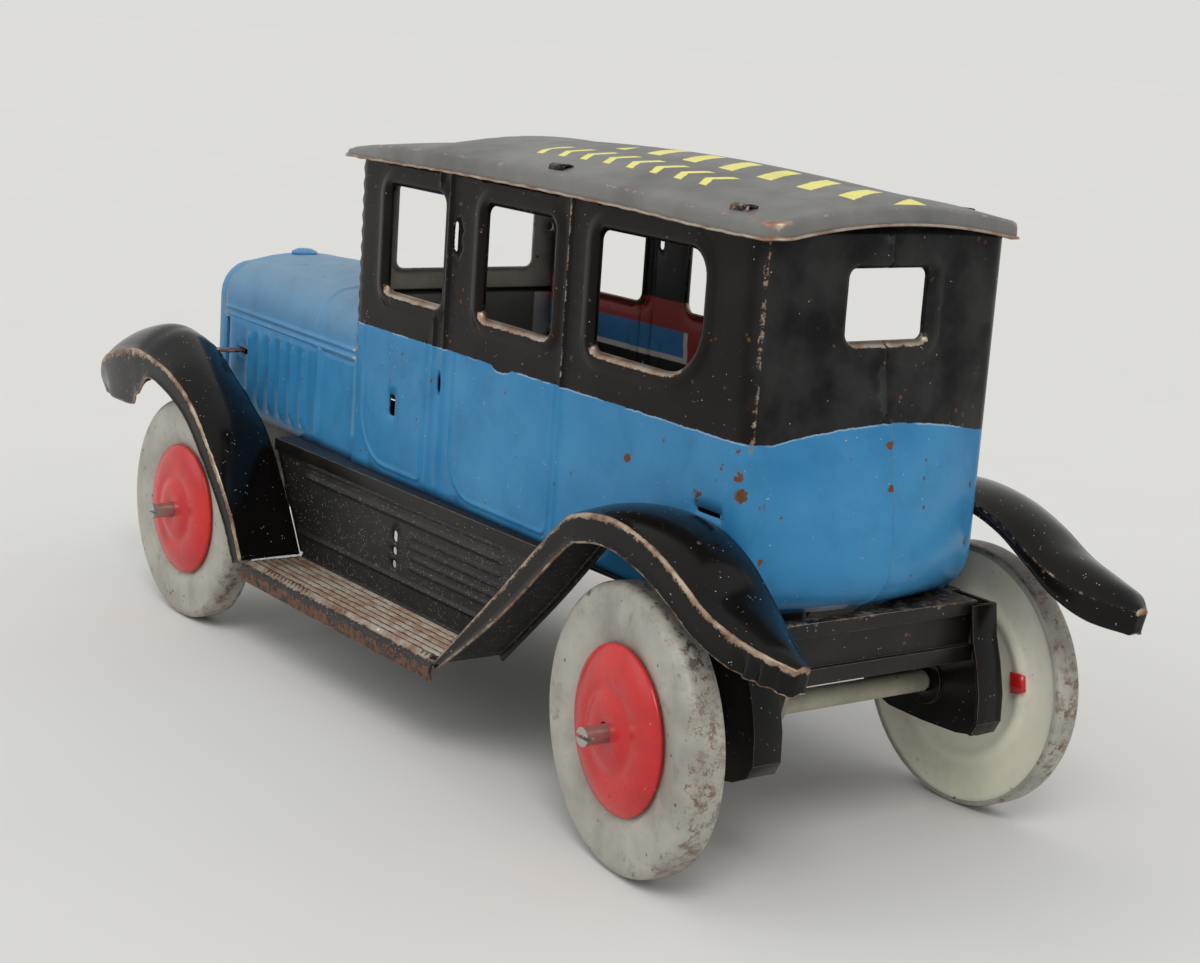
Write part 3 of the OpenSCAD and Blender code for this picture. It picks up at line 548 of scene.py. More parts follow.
def roof_paint(look):
    """Black tin painted grey all over as a painted reflection of the light above, with two rows of plain
    yellow marks: chevrons, and slanting bars beside them.
    """
    x, y = look.axis("X"), look.axis("Y")
    ragged = look.math("MULTIPLY_ADD", look.noise(1.5, 3, 0.6, seed=31), 0.7, -0.35)

    def row(middle, half_height, pitch, stroke, slant, chevron, x0, x1):
        across = look.math("SUBTRACT", y, middle)
        reach = look.math("ABSOLUTE", across)
        along = look.math("ADD", x, look.math("MULTIPLY", reach if chevron else across, slant))
        along = look.math("FLOORED_MODULO", look.math("ADD", along, ragged), pitch)
        in_stroke = look.math("ABSOLUTE", look.math("SUBTRACT", along, pitch / 2))
        return look.all_of(look.step(in_stroke, stroke / 2 + 0.1, stroke / 2 - 0.1),
                           look.step(reach, half_height + 0.1, half_height - 0.1),
                           look.step(x, x0, x0 + 0.2), look.step(x, x1, x1 - 0.2))

    chevrons = row(13.6, 3.4, 6.4, 1.9, 0.75, True, -66, -16)
    bars = row(0.8, 6.0, 9.6, 3.6, 0.55, False, -90, -26)
    marks = look.all_of(look.any_of(chevrons, bars), look.step(look.noise(2.2, 4, 0.7, seed=33), 0.30, 0.36))
    # the grey tone under the yellow marks is a painted reflection on the black roof
    return look.mix(marks, tone(look, srgb(94, 94, 92), srgb(118, 118, 115), 16), srgb(236, 228, 120))


def tyre_paint(look):
    greyed = tone(look, srgb(172, 170, 160), srgb(148, 145, 136), 9)
    return look.mix(look.step(look.noise(3.2, 5, 0.7, seed=41), 0.55, 0.72), greyed, srgb(132, 126, 110))


def cream_paint(look):
    return tone(look, srgb(240, 236, 220), srgb(228, 226, 206), 14)


def red_paint(look):
    return tone(look, srgb(205, 34, 34), srgb(186, 30, 32), 12)


def sleeve_paint(look):
    return tone(look, srgb(178, 174, 152), srgb(150, 146, 128), 5)


def plain_metal(name, dark, light, rough, grain=(1, 1, 1), tarnish=srgb(80, 62, 48), share=0.45, metal=0.9):
    """Bare metal with brushed grain and patches of tarnish, which cover about a share of it."""
    look = Look(name)
    grained = look.noise(0.5, 4, 0.7, stretch=grain, seed=51)
    colour = look.mix(grained, dark, light)
    patch = look.step(look.noise(2.6, 5, 0.7, seed=53), 0.78 - share / 2, 0.92 - share / 2)
    colour = look.mix(patch, colour, tarnish)
    rough, metal = look.blend(patch, rough, 0.7), look.blend(patch, metal, 0.25)
    return look.finish(colour, rough, metal, look.math("ADD", grained, patch), 0.02)


LOOKS = {
    "body": old_enamel("body_two_tone", two_tone_paint, 0.21, 0.10, peel=0.015, dust_and_glints=0.06,
                       Specular_IOR_Level=0.13),
    "blue": old_enamel("blue_enamel", blue_paint, 0.34, 0.10),
    "hood": old_enamel("hood_blue_enamel", hood_paint, 0.42, 0.08,
                       bare=(srgb(176, 178, 176), srgb(140, 120, 100))),
    "black": old_enamel("black_enamel", black_paint, 0.19, 0.06, dust_and_glints=0.08, Specular_IOR_Level=0.2),
    "fender": old_enamel("fender_enamel", black_paint, 0.19, 0.06, dust_and_glints=0.10, Specular_IOR_Level=0.2,
                         bare=(srgb(122, 94, 78), srgb(182, 164, 142))),
    "board": old_enamel("running_board_enamel", chassis_paint, 0.40, 0.03, dust_and_glints=0.08, Specular_IOR_Level=0.35,
                        bare=(srgb(128, 124, 118), srgb(168, 163, 156))),
    "chassis": old_enamel("chassis_enamel", chassis_paint, 0.40, 0.08, dust_and_glints=0.08, Specular_IOR_Level=0.35,
                          bare=(srgb(128, 110, 92), srgb(168, 156, 140))),
    "roof": old_enamel("roof_enamel", roof_paint, 0.46, 0.04, dust_and_glints=0.03),
    "inside": old_enamel("inside_print", inside_paint, 0.5, 0.05),
    "shield": old_enamel("windshield_print", shield_paint, 0.5, 0.10),
    "under": old_enamel("dark_underside", chassis_paint, 0.55, 0.16, dust_and_glints=0.22, peel=0.06,
                        dust_and_glint_colour=srgb(150, 150, 150)),
    "tyre": old_enamel("tyre_enamel", tyre_paint, 0.38, 0.13, dust_and_glints=0.04, dust_and_glint_colour=srgb(60, 54, 48),
                       bare=(srgb(120, 92, 78), srgb(160, 148, 136))),
    "cream": old_enamel("wheel_back_enamel", cream_paint, 0.34, 0.07, dust_and_glint_colour=srgb(90, 84, 70)),
    "red": old_enamel("hub_enamel", red_paint, 0.26, 0.07, dust_and_glints=0.03),
    "steel": plain_metal("axle_steel", srgb(150, 148, 144), srgb(205, 202, 196), 0.34, share=0.2),
    "plate_steel": plain_metal("motor_plate_steel", srgb(130, 128, 124), srgb(170, 168, 162), 0.42, (1, 1, 6),
                               share=0.3),
    "brass": plain_metal("gear_brass", srgb(150, 118, 62), srgb(190, 156, 90), 0.36,
                         tarnish=srgb(92, 70, 42), share=0.3),
    "iron": plain_metal("flywheel_iron", srgb(66, 64, 62), srgb(98, 95, 92), 0.5,
                        tarnish=srgb(74, 48, 34), share=0.4, metal=0.6),
    "sleeve": old_enamel("sleeve_enamel", sleeve_paint, 0.45, 0.15),
}


# ======== body halves ========
CORNER_R = 3.4
REAR_CORNER_X = -89.2
CORNER_S = HALF_REAR - CORNER_R     # where the rear panel ends and its corner starts, from the seam
CABIN_FRONT_Y = 22.3
HOOD_Y = (21.4, 19.6)           # half width of the hood's side at the cabin and near its front
WINDOWS = [                     # rear, front, low and high edge, and the corners' radii
    (-75.1, -46.6, 74.3, 93.8, (9, 1.8, 1.8, 4)),
    (-34.2, -12.2, 74.3, 93.8, (1.8,) * 4),
    (1.2, 21.5, 74.3, 93.8, (1.8,) * 4),
]
REAR_WINDOW = (-8, 8, 81.9, 92.8, (1.3,) * 4)
ROLL = 1.3                      # radius of the edge rolled inwards round a window
SILL_Z = 41.5                   # where the beads start
BELT_Z = 67.0                   # where the black starts
PILLAR_BEADS = [(-1.2, 0.5, 0.75), (2.4, 0.5, 0.75), (-39, 0.45, 0.7)]      # place, height, half width
DOORS = [(5.2, 28.2, 9.5), (-37.0, -4.8, 8.0)]      # rear edge, front edge, radius of the lower front corner
DOOR_SLOT = (15.3, 17.7, 51.6, 55.6, 0.6)           # rear, front, low and high edge, and the corners' radius
PILLAR_SLIT = (-3.7, -2.1, 84.6, 90.0, 0.7)
FRONT_TAB_SLOT = (81.3, 85.7, 52.1, 53.3, 0.3)
REAR_TAB_SLOT = (-83.4, -77.6, 54.8, 55.6, 0.3)
PILLAR_NOTCH = [(0.4, 58.2), (1.1, 59.4), (1.1, 61.2), (0.4, 63.2), (-0.3, 61.2), (-0.3, 59.4)]
RUST_SPOTS = [                  # place along the side, height, radius
    (-55.5, 60.8, 0.9), (-58.6, 59.4, 1.3), (-60.6, 63.4, 0.7), (-77.5, 57.0, 1.5), (-86.8, 62.0, 1.2),
    (-87.4, 59.2, 1.4), (-86.2, 66.0, 0.8), (20.6, 45.0, 0.6), (26.6, 50.0, 0.5), (2.6, 60.6, 0.7),
    (16.5, 56.4, 0.8),
]
REAR_RUST = [                   # the same across the rear, from its seam
    (-4.5, 51.0, 1.2), (0.2, 60.0, 0.7), (20.8, 58.0, 1.1), (21.2, 49.0, 0.9), (0.3, 66.5, 0.8),
]


def body_plan():
    """The body's wall seen from above, from the rear seam round the corner to the front of the hood."""
    corner = arc(REAR_CORNER_X + CORNER_R, CORNER_S, CORNER_R, 180, 90, 10)
    step = CABIN_FRONT_Y - HOOD_Y[0]
    step_in = [(CABIN_FRONT - 1.0 + 2.0 * t, CABIN_FRONT_Y - step * float(smooth_step(t, 0, 1)))
               for t in np.linspace(0, 1, 7)]
    nose = arc(HOOD_FRONT - 3.6, HOOD_Y[1] - 3.6, 3.6, 86, 4, 8)
    path = [(REAR_CORNER_X, 0)] + corner + step_in + nose + [(HOOD_FRONT, 14.0)]
    return walk(path, 0.3)


def front_post_plan(plan):
    """The same wall above the hood, where its front edge turns inwards."""
    post = arc(CABIN_FRONT - 1.1, CABIN_FRONT_Y - 1.1, 1.1, 88, 0, 5) + [(CABIN_FRONT, CABIN_FRONT_Y - 3.2)]
    return walk(np.vstack([plan[plan[:, 0] < CABIN_FRONT - 1.2], post]), 0.3)


PLAN = body_plan()
PLAN_S = run_length(PLAN)
POST_PLAN = front_post_plan(PLAN)
POST_S = run_length(POST_PLAN)


def at_x(x):
    """How far along the wall the side is at x."""
    side = PLAN[:, 0] > REAR_CORNER_X + CORNER_R * 0.5
    return float(np.interp(x, PLAN[side, 0], PLAN_S[side]))


def to_plan(line):
    return np.array([(at_x(x), z) for x, z in line])


def upright(x, z0, z1):
    return to_plan([(x, z0), (x, z1)])


def on_wall(s, z, height):
    """Points of the wall, from the distance along its plan, the height above ground and the relief."""
    above = (z > HOOD_SIDE_Z + 0.05) & (s > at_x(CABIN_FRONT - 8))
    out = np.zeros((len(s), 3))
    for chosen, path, run in ((~above, PLAN, PLAN_S), (above, POST_PLAN, POST_S)):
        at, relief, normal = s[chosen], height[chosen], outward(path)
        for k in (0, 1):
            out[chosen, k] = np.interp(at, run, path[:, k]) + relief * np.interp(at, run, normal[:, k])
    out[:, 2] = z
    bulge, full_z, flat_z = 5.1, 50, 86     # the rear panel stands out below, most in its middle
    across = np.clip(s / CORNER_S, 0, 1)
    out[:, 0] -= bulge * fade(z, full_z, flat_z) * (1 - across ** 2)
    tuck_r, tuck_reach = 8.0, 14.0          # and its foot is tucked under
    drop = np.clip(DECK_Z + tuck_r - z, 0, tuck_r * 0.94)
    tuck = tuck_r - np.sqrt(tuck_r ** 2 - drop ** 2)
    back = low("body_left")[0]
    out[:, 0] += tuck * np.clip((back + tuck_reach - out[:, 0]) / tuck_reach, 0, 1.2)
    return out


def door_line(rear, front, front_r):
    """A door's edge: down its front, round the corners and up its rear."""
    low_z, rear_r, top = SILL_Z + 0.1, 1.6, BELT_Z - 0.4
    return to_plan([(front, top)] + arc(front - front_r, low_z + front_r, front_r, 0, -90)
                   + arc(rear + rear_r, low_z + rear_r, rear_r, 270, 180, 4) + [(rear, top)])


def body_outline():
    """The edge of a flat half, round half of the rear window and up to the turned-in front post."""
    s_front, s_post = PLAN_S[-1], at_x(CABIN_FRONT - 1.2) + 2.8
    low_z, high_z = REAR_WINDOW[2:4]
    notch = [p for p in rounded(*REAR_WINDOW) if p[0] > 0.01]
    notch.sort(key=lambda p: -math.atan2(p[1] - (low_z + high_z) / 2, p[0]))
    return walk([(0, DECK_Z), (s_front, DECK_Z), (s_front, HOOD_SIDE_Z), (s_post - 1.0, HOOD_SIDE_Z),
                 (s_post - 1.0, HOOD_SIDE_Z + 0.3), (s_post, HOOD_SIDE_Z + 0.8), (s_post, EAVES_Z),
                 (0, EAVES_Z), (0, high_z)] + notch + [(0, low_z)], 1.2, closed=True)


def body_slots():
    """The holes of a half: the door's slot, the pillar's notch and slit, and the slots for tabs."""
    def slot(rear, front, low_z, high_z, radius):
        return rounded(at_x(rear), at_x(front), low_z, high_z, (radius,) * 4, step=0.5)

    return [slot(*DOOR_SLOT), walk(to_plan(PILLAR_NOTCH), 0.5, closed=True), slot(*PILLAR_SLIT),
            slot(*FRONT_TAB_SLOT), slot(*REAR_TAB_SLOT)]


def body_beads(doors):
    """The pressed lines of a half, each with its height and half width. The pillars' beads come first."""
    beads = [(upright(x, SILL_Z, EAVES_Z), h, w) for x, h, w in PILLAR_BEADS]
    beads += [(door, 0.38, 0.8) for door in doors]
    beads += [(upright(48.0, SILL_Z, HOOD_SIDE_Z), 0.6, 0.85)]
    beads += [(upright(x, 43.5, 56.5), 0.85, 1.4) for x in np.linspace(54.5, 79.5, 6)]
    return beads + [(np.array([(0, DECK_Z), (0, BELT_Z + 3)]), 0.5, 0.8)]


def body_half(name, side):
    windows = [(at_x(rear), at_x(front), *rest) for rear, front, *rest in WINDOWS]
    slots, doors = body_slots(), [door_line(*door) for door in DOORS]
    beads = body_beads(doors)
    holes = [rounded(*window) for window in windows] + slots
    windows.append(REAR_WINDOW)
    rows = [r for line, h, w in beads for r in rows_beside(line, w)]
    offsets = (0.08, 0.25, 0.5, 0.85, 1.25, ROLL, 2.2, 2.8, 3.4)
    rows += [rounded(*window, grow=g) for window in windows for g in offsets]
    corner_s = np.linspace(CORNER_S, HALF_REAR + CORNER_R * 0.4, 9)
    corner_z = np.linspace(DECK_Z + 0.5, EAVES_Z - 0.5, 58)
    rows += [np.column_stack([np.full(58, s), corner_z]) for s in corner_s]
    points, faces = flat_sheet(body_outline(), holes, rows, 1.7)

    s, z = points[:, 0], points[:, 1]
    height = most(0, *[h * swell(distance(points, line), w) for line, h, w in beads])
    for door in doors:
        height += 0.22 * inside(points, door) * smooth_step(distance(points, door), 0.2, 1.2)
    lips = []
    for window in windows:
        d = distance(points, rounded(*window), closed=True)
        turn = np.sqrt(np.clip(1 - (1 - np.clip(d / ROLL, 0, 1)) ** 2, 0, 1))
        height = height * smooth_step(d, 1.5, 3) + 0.35 * fade(d, 1.9, 3.2) - 1.5 * (1 - turn)
        low_z = window[2]
        lips.append((0.34 + 0.55 * fade(z, low_z - 0.5, low_z + 2.0)) * fade(d, 0.5, 1.5))
    verts = on_wall(s, z, height)

    pillar, rear_rib = (distance(points, beads[k][0]) for k in (0, 2))
    wear = most(
        0, *lips,
        0.62 * swell(rear_rib, 0.8) * smooth_step(z, 50, 70),
        0.45 * swell(pillar, 0.8),
        0.5 * fade(z, DECK_Z + 0.1, DECK_Z + 0.7),
        # painted highlight: a bright band of bare metal down the upper rear corner, where the light glints on
        # the glossy black
        0.62 * swell(np.abs(s - (CORNER_S + 2.6)), 1.3) * smooth_step(z, 55, 66),
        *[0.5 * fade(distance(points, slot, closed=True), 0.1, 0.4) for slot in slots])
    spots = [(at_x(x), height_z, r) for x, height_z, r in RUST_SPOTS] + REAR_RUST
    rust = most(0, *[0.85 * np.exp(-(((s - s0) / r) ** 2 + ((z - z0) / r) ** 2)) for s0, z0, r in spots])
    belt = z - BELT_Z - 2.6 * (1 - np.clip(s / CORNER_S, 0, 1) ** 2) * (s < HALF_REAR)
    belt += 0.9 * np.exp(-((s - at_x(-20.5)) / 2.6) ** 4)
    verts, faces = mirrored(verts, faces[:, ::-1], side)
    return tin(f"{name}_shell", verts, faces, "body inside", (name,), "body_blue",
               wear=wear, rust=rust, belt=belt)


# ======== windshield panel ========
def windshield():
    half, z0, z1 = 21.3, low("windshield_panel")[2], high("windshield_panel")[2]
    opening, roll = (-15.5, 15.5, 77.3, 93.6, (1.5,) * 4), 1.1
    edge = rounded(*opening)
    hole = arc(-20.0, 85.0, 0.8, 0, 337.5, 15)      # through the right post
    outline = walk([(-half, z0), (half, z0), (half, z1), (-half, z1)], 1.5, closed=True)
    ledge_z = 72.6
    rows = [rounded(*opening, grow=g) for g in (0.1, 0.35, 0.7, roll, 1.6)]
    rows += rows_beside([(-half + 1, ledge_z), (half - 1, ledge_z)], 0.7)
    points, faces = flat_sheet(outline, [edge, hole], rows, 2.0)
    d = distance(points, edge, closed=True)
    turn = np.sqrt(np.clip(1 - (1 - np.clip(d / roll, 0, 1)) ** 2, 0, 1))
    height = 0.5 * swell(distance(points, [(-half, ledge_z), (half, ledge_z)]), 0.7) - 1.3 * (1 - turn)
    verts = np.column_stack([high("windshield_panel")[0] + height, points])
    tin("windshield_panel_tin", verts, faces, "shield", ("windshield_panel",), "inside_grey",
        wear=0.5 * fade(d, 0.2, 1.0))


# ======== hood and radiator ========
def hood_cover():
    """The hood's cover: a rolled sheet with two beads along each lower edge and a pressed seam across."""
    x0, x1 = low("hood_top")[0], high("hood_top")[0]
    rear_w, front_w = high("hood_top")[1] + 0.25, 19.2
    ridge, radius, crown = high("radiator")[2], 7.0, 1.5
    rise = high("hood_top")[2] - ridge
    edge, seam_x = HOOD_SIDE_Z - 0.7, 49
    xs = np.unique(np.concatenate([np.linspace(x0, x1, 46), seam_x + np.linspace(-1.2, 1.2, 9)]))
    verts, wear = [], []
    for x in xs:
        t = (x - x0) / (x1 - x0)
        w, top = rear_w + (front_w - rear_w) * t, ridge + rise * 4 * t * (1 - t)
        shoulder = top - radius - crown
        side_z = [*np.linspace(edge, edge + 4, 17)[:-1], *np.linspace(edge + 4, shoulder, 4)[:-1]]
        half = [(w, z) for z in side_z] + arc(w - radius, shoulder, radius, 0, 90, 12)
        half += [(y, top - crown * (y / (w - radius)) ** 2) for y in np.linspace(w - radius, 0, 8)[1:]]
        ring = np.vstack([half, np.array(half)[-2::-1] * (-1, 1)])
        length = run_length(ring)
        from_edge = np.minimum(length, length[-1] - length)
        beads = 0.34 * (swell(np.abs(from_edge - 0.8), 0.6) + swell(np.abs(from_edge - 2.3), 0.6))
        seam = 0.3 * swell(abs(x - seam_x), 0.9)
        lifted = ring - outward(ring) * (beads + seam)[:, None]
        verts += [(x, y, z) for y, z in lifted]
        wear += list(0.45 * (beads > 0.2) + 0.75 * fade(from_edge, 0, 0.5)
                     + 0.85 * (fade(x - x0, 0.2, 1.2) + smooth_step(x, x1 - 1.6, x1 - 0.4)))
    faces = grid_faces(len(xs), len(verts) // len(xs))
    return tin("hood_cover", verts, faces, "hood under", ("hood_top",), "hood_blue", wear=wear)


# ======== roof ========
ROOF = np.array([   # x, half width, height of the folded edge, height of the crest, lower edge of the skirt
    (-91.0, 24.9, 99.8, 102.3, 97.5), (-88, 25.4, 99.9, 102.9, 97.5), (-75, 25.5, 100.1, 103.6, 97.6),
    (-58, 25.3, 100.8, 104.6, 98.1), (-38, 25.0, 101.4, 105.3, 98.4), (-20, 24.7, 101.4, 105.2, 98.5),
    (0, 24.3, 101.4, 104.4, 98.5), (9.5, 24.1, 101.4, 103.8, 98.4), (12, 24.0, 101.3, 102.5, 98.4),
    (22, 23.8, 101.0, 101.9, 98.3), (28.4, 23.7, 100.4, 101.1, 98.2), (33, 23.6, 99.8, 100.4, 98.2),
    (36, 23.2, 99.3, 99.7, 98.2), (38, 22.4, 98.9, 99.0, 98.2)])
CREASE_X = (9.0, 9.6, 10.2, 10.9, 11.6, 12.3)       # rows of points where the roof drops towards its visor
ROOF_SKIRT = [      # rings from the fold down: outwards, share of the skirt's depth, lift, wear
    (0.22, 0.06, 0, 0.55), (0.42, 0.2, 0, 0.35), (0.52, 0.45, 0, 0.1), (0.56, 0.8, 0, 0.0),
    (0.58, 0.9999, 0, 0.75), (0.9, 1.0, 0.12, 0.9),
]


def roof_at(x, column):
    """A column of the roof's table at x, smooth between its rows."""
    xs, ys = ROOF[:, 0], ROOF[:, column]
    slopes = np.gradient(ys, xs)
    k = np.clip(np.searchsorted(xs, x) - 1, 0, len(xs) - 2)
    h = xs[k + 1] - xs[k]
    t = np.clip((x - xs[k]) / h, 0, 1)
    return ((2 * t ** 3 - 3 * t ** 2 + 1) * ys[k] + (t ** 3 - 2 * t ** 2 + t) * h * slopes[k]
            + (3 * t ** 2 - 2 * t ** 3) * ys[k + 1] + (t ** 3 - t ** 2) * h * slopes[k + 1])


def roof_top(x, y):
    edge, crest = roof_at(x, 2), roof_at(x, 3)
    return edge + (crest - edge) * (1 - np.clip(np.abs(y) / roof_at(x, 1), 0, 1) ** 2)


def roof_outline():
    """The roof's fold seen from above."""
    x0, x1 = ROOF[0, 0], high("roof")[0]
    corner, nose, nose_in = 2.6, 3.0, 3.4
    left = [(x, float(roof_at(x, 1)) - 0.6) for x in np.arange(x0 + corner, x1 - nose, 1.2)]
    rear = arc(x0 + corner, left[0][1] - corner, corner, 180, 98, 6)
    front = [(x1 - nose + nose * math.sin(a), left[-1][1] - nose_in * (1 - math.cos(a)))
             for a in np.linspace(0, math.pi / 2, 7)[1:]]
    upper = rear + left + front
    return walk([(x0, 0)] + upper + [(x, -y) for x, y in upper[::-1]], 1.1, closed=True)


def roof_sheet():
    """The crowned roof with its edge folded down into a skirt, which runs out into the visor at the front."""
    loop = roof_outline()
    rim_rows = [beside(np.vstack([loop, loop[:1]]), -g)[:-1] for g in (0.35, 0.8, 1.5, 2.6)]
    crease = [np.column_stack([np.full(60, x), np.linspace(-23, 23, 60)]) for x in CREASE_X]
    points, faces = flat_sheet(loop, [], rim_rows + crease, 2.2)
    x, d = points[:, 0], distance(points, loop, closed=True)
    ripple = 0.10 * np.sin(x * 1.9) * np.sin(x * 0.73 + 1) * fade(d, 0.2, 1.6)
    verts = np.column_stack([points, roof_top(x, points[:, 1]) + ripple - 0.10 * fade(d, 0, 0.5)])
    tree = search_tree(points)
    order = [tree.find((p[0], p[1], 0))[1] for p in loop]
    run = np.roll(loop, -1, 0) - np.roll(loop, 1, 0)
    run /= np.linalg.norm(run, axis=1)[:, None]
    out = np.column_stack([-run[:, 1], run[:, 0]])
    depth = np.maximum(roof_at(loop[:, 0], 2) - roof_at(loop[:, 0], 4), 0.5)
    faces, previous = list(faces), order
    wear = [0.5 * fade(d, 0.1, 0.8) + 0.36 * swell(np.abs(x - 10.2), 0.8)]
    for outwards, share, lift, worn in ROOF_SKIRT:
        current = np.arange(len(loop)) + len(verts)
        ring = np.column_stack([loop + out * outwards, verts[order, 2] - share * depth + lift])
        verts = np.vstack([verts, ring])
        wear.append(np.full(len(loop), worn))
        faces += zip(previous, np.roll(previous, -1), np.roll(current, -1), current)
        previous = current
    wear = np.concatenate(wear)
    wear += 0.5 * np.exp(-(((verts[:, 0] + 90.5) / 2.2) ** 2 + ((np.abs(verts[:, 1]) - 25) / 2.2) ** 2))
    wear += 0.6 * smooth_step(verts[:, 0], 35.5, 37.2)
    return tin("roof_tin", verts, orient_up(verts, faces), "roof under", ("roof",), "roof_black", wear=wear)


def roof_tabs():
    """Four tabs of the body, pushed up through slots in the roof and bent over."""
    shape = [(0, -1.4), (0, 0.1), (0.12, 0.45), (0.45, 0.62), (1.0, 0.6), (1.7, 0.42)]      # outwards, up
    for label, side in SIDES.items():
        for end, x in (("rear", -80.4), ("middle", -35.5 + 2.5 * side)):
            y = side * 23.2
            base = float(roof_top(x, y)) - 0.05
            path = [(x, y - side * out, base + up) for out, up in shape]
            verts, faces = strip(path, 3.8, (1, 0.06, 0))
            piece(f"roof_tab_{end}_{label}", verts, faces, "black", BODY, (), "body_blue", 0.4, wear=0.55)


# ======== fenders ========
REAR_FENDER = [     # edge beside the body, outer edge, crown, outer flange, inner flange
    ((-28, 25.4, 18.5), (-28, 39.0, 18.5), 0.0, 1.4, 1.3),
    ((-44, 25.3, 33.5), (-45, 39.3, 34.2), 0.3, 3.6, 1.3),
    ((-59.2, 25.2, 48.8), (-61.8, 39.5, 50.0), 0.4, 4.0, 1.3),
    ((-66.7, 25.1, 53.2), (-67.6, 39.6, 53.4), 0.8, 4.4, 1.3),
    ((-76.5, 25.1, 54.6), (-76.0, 39.6, 54.6), 1.2, 4.6, 1.3),
    ((-84.5, 25.1, 53.8), (-85.0, 39.5, 53.0), 1.6, 4.8, 1.3),
    ((-91.5, 25.2, 51.2), (-93.0, 39.3, 49.6), 1.8, 4.8, 1.3),
    ((-97.5, 25.6, 47.4), (-99.5, 38.9, 46.0), 1.8, 4.8, 1.6),
    ((-102.5, 26.8, 44.4), (-105.8, 38.2, 43.8), 1.6, 4.8, 3.0),
    ((-108.0, 28.8, 42.4), (-110.8, 36.9, 42.6), 1.2, 4.6, 4.0),
    ((-113.8, 31.6, 41.4), (-113.8, 34.6, 41.4), 0.3, 4.2, 4.0),
]
FRONT_FENDER = [
    ((44.6, 25.4, 18.5), (43.6, 39.2, 18.5), 0.0, 3.2, 1.3),
    ((50.4, 25.6, 28.6), (46.2, 40.8, 28.6), 0.8, 3.4, 1.3),
    ((58.6, 26.0, 40.0), (53.6, 42.0, 39.4), 2.0, 3.6, 1.3),
    ((65.0, 26.0, 44.4), (61.6, 42.0, 46.2), 2.4, 3.8, 1.3),
    ((73.6, 26.0, 49.0), (71.0, 42.0, 50.6), 3.2, 4.2, 1.3),
    ((82.0, 26.0, 53.4), (81.0, 41.8, 52.4), 3.8, 4.4, 1.3),
    ((86.5, 26.1, 54.6), (86.0, 41.7, 52.9), 3.7, 8.6, 1.4),
    ((91.4, 26.2, 55.0), (91.0, 41.6, 52.8), 3.6, 11.6, 1.6),
    ((101.0, 26.8, 53.2), (101.0, 41.2, 50.6), 3.0, 10.4, 3.0),
    ((108.4, 28.0, 49.4), (108.6, 40.4, 47.8), 2.4, 8.6, 4.6),
    ((112.4, 29.8, 44.6), (112.4, 39.2, 43.6), 1.4, 5.6, 5.0),
    ((113.2, 31.2, 40.0), (113.2, 37.6, 39.8), 0.5, 3.4, 3.4),
]
FOLD = [            # rings round the flange's fold: outwards, down, wear
    (0.16, 0.03, 0.7), (0.32, 0.12, 0.9), (0.44, 0.28, 0.95), (0.5, 0.5, 0.7),
]
FLANGE = [          # rings below the fold: outwards, share of the flange's depth, wear
    (0.5, 0.35, 0.25), (0.5, 0.7, 0.2), (0.55, 0.95, 0.35), (0.7, 1.0, 0.75),
]
RIM = 0.5           # how far the fold stands out from the top sheet
REAR_CRIMPS = (-107.2, -109.6, -111.8)      # where the rear fenders' flange is crimped to round their tip
REAR_DENT = ((-97.0, 33.0, 47.6), 5.0, 0.8)     # place, radius, depth
BEND = {"left": (0, 0, 0), "right": (-1.5, 1.5, 1.5)}       # of the rear fenders' tips


def between(stations, steps):
    """The stations with smooth ones between them."""
    rows = np.array([(*a, *b, crown, outer, inner) for a, b, crown, outer, inner in stations], float)
    out = []
    for k in range(len(rows) - 1):
        p = [rows[max(k - 1, 0)], rows[k], rows[k + 1], rows[min(k + 2, len(rows) - 1)]]
        for t in np.arange(steps) / steps:
            out.append(0.5 * (2 * p[1] + (p[2] - p[0]) * t + (2 * p[0] - 5 * p[1] + 4 * p[2] - p[3]) * t * t
                              + (3 * p[1] - p[0] - 3 * p[2] + p[3]) * t ** 3))
    return np.array(out + [rows[-1]])


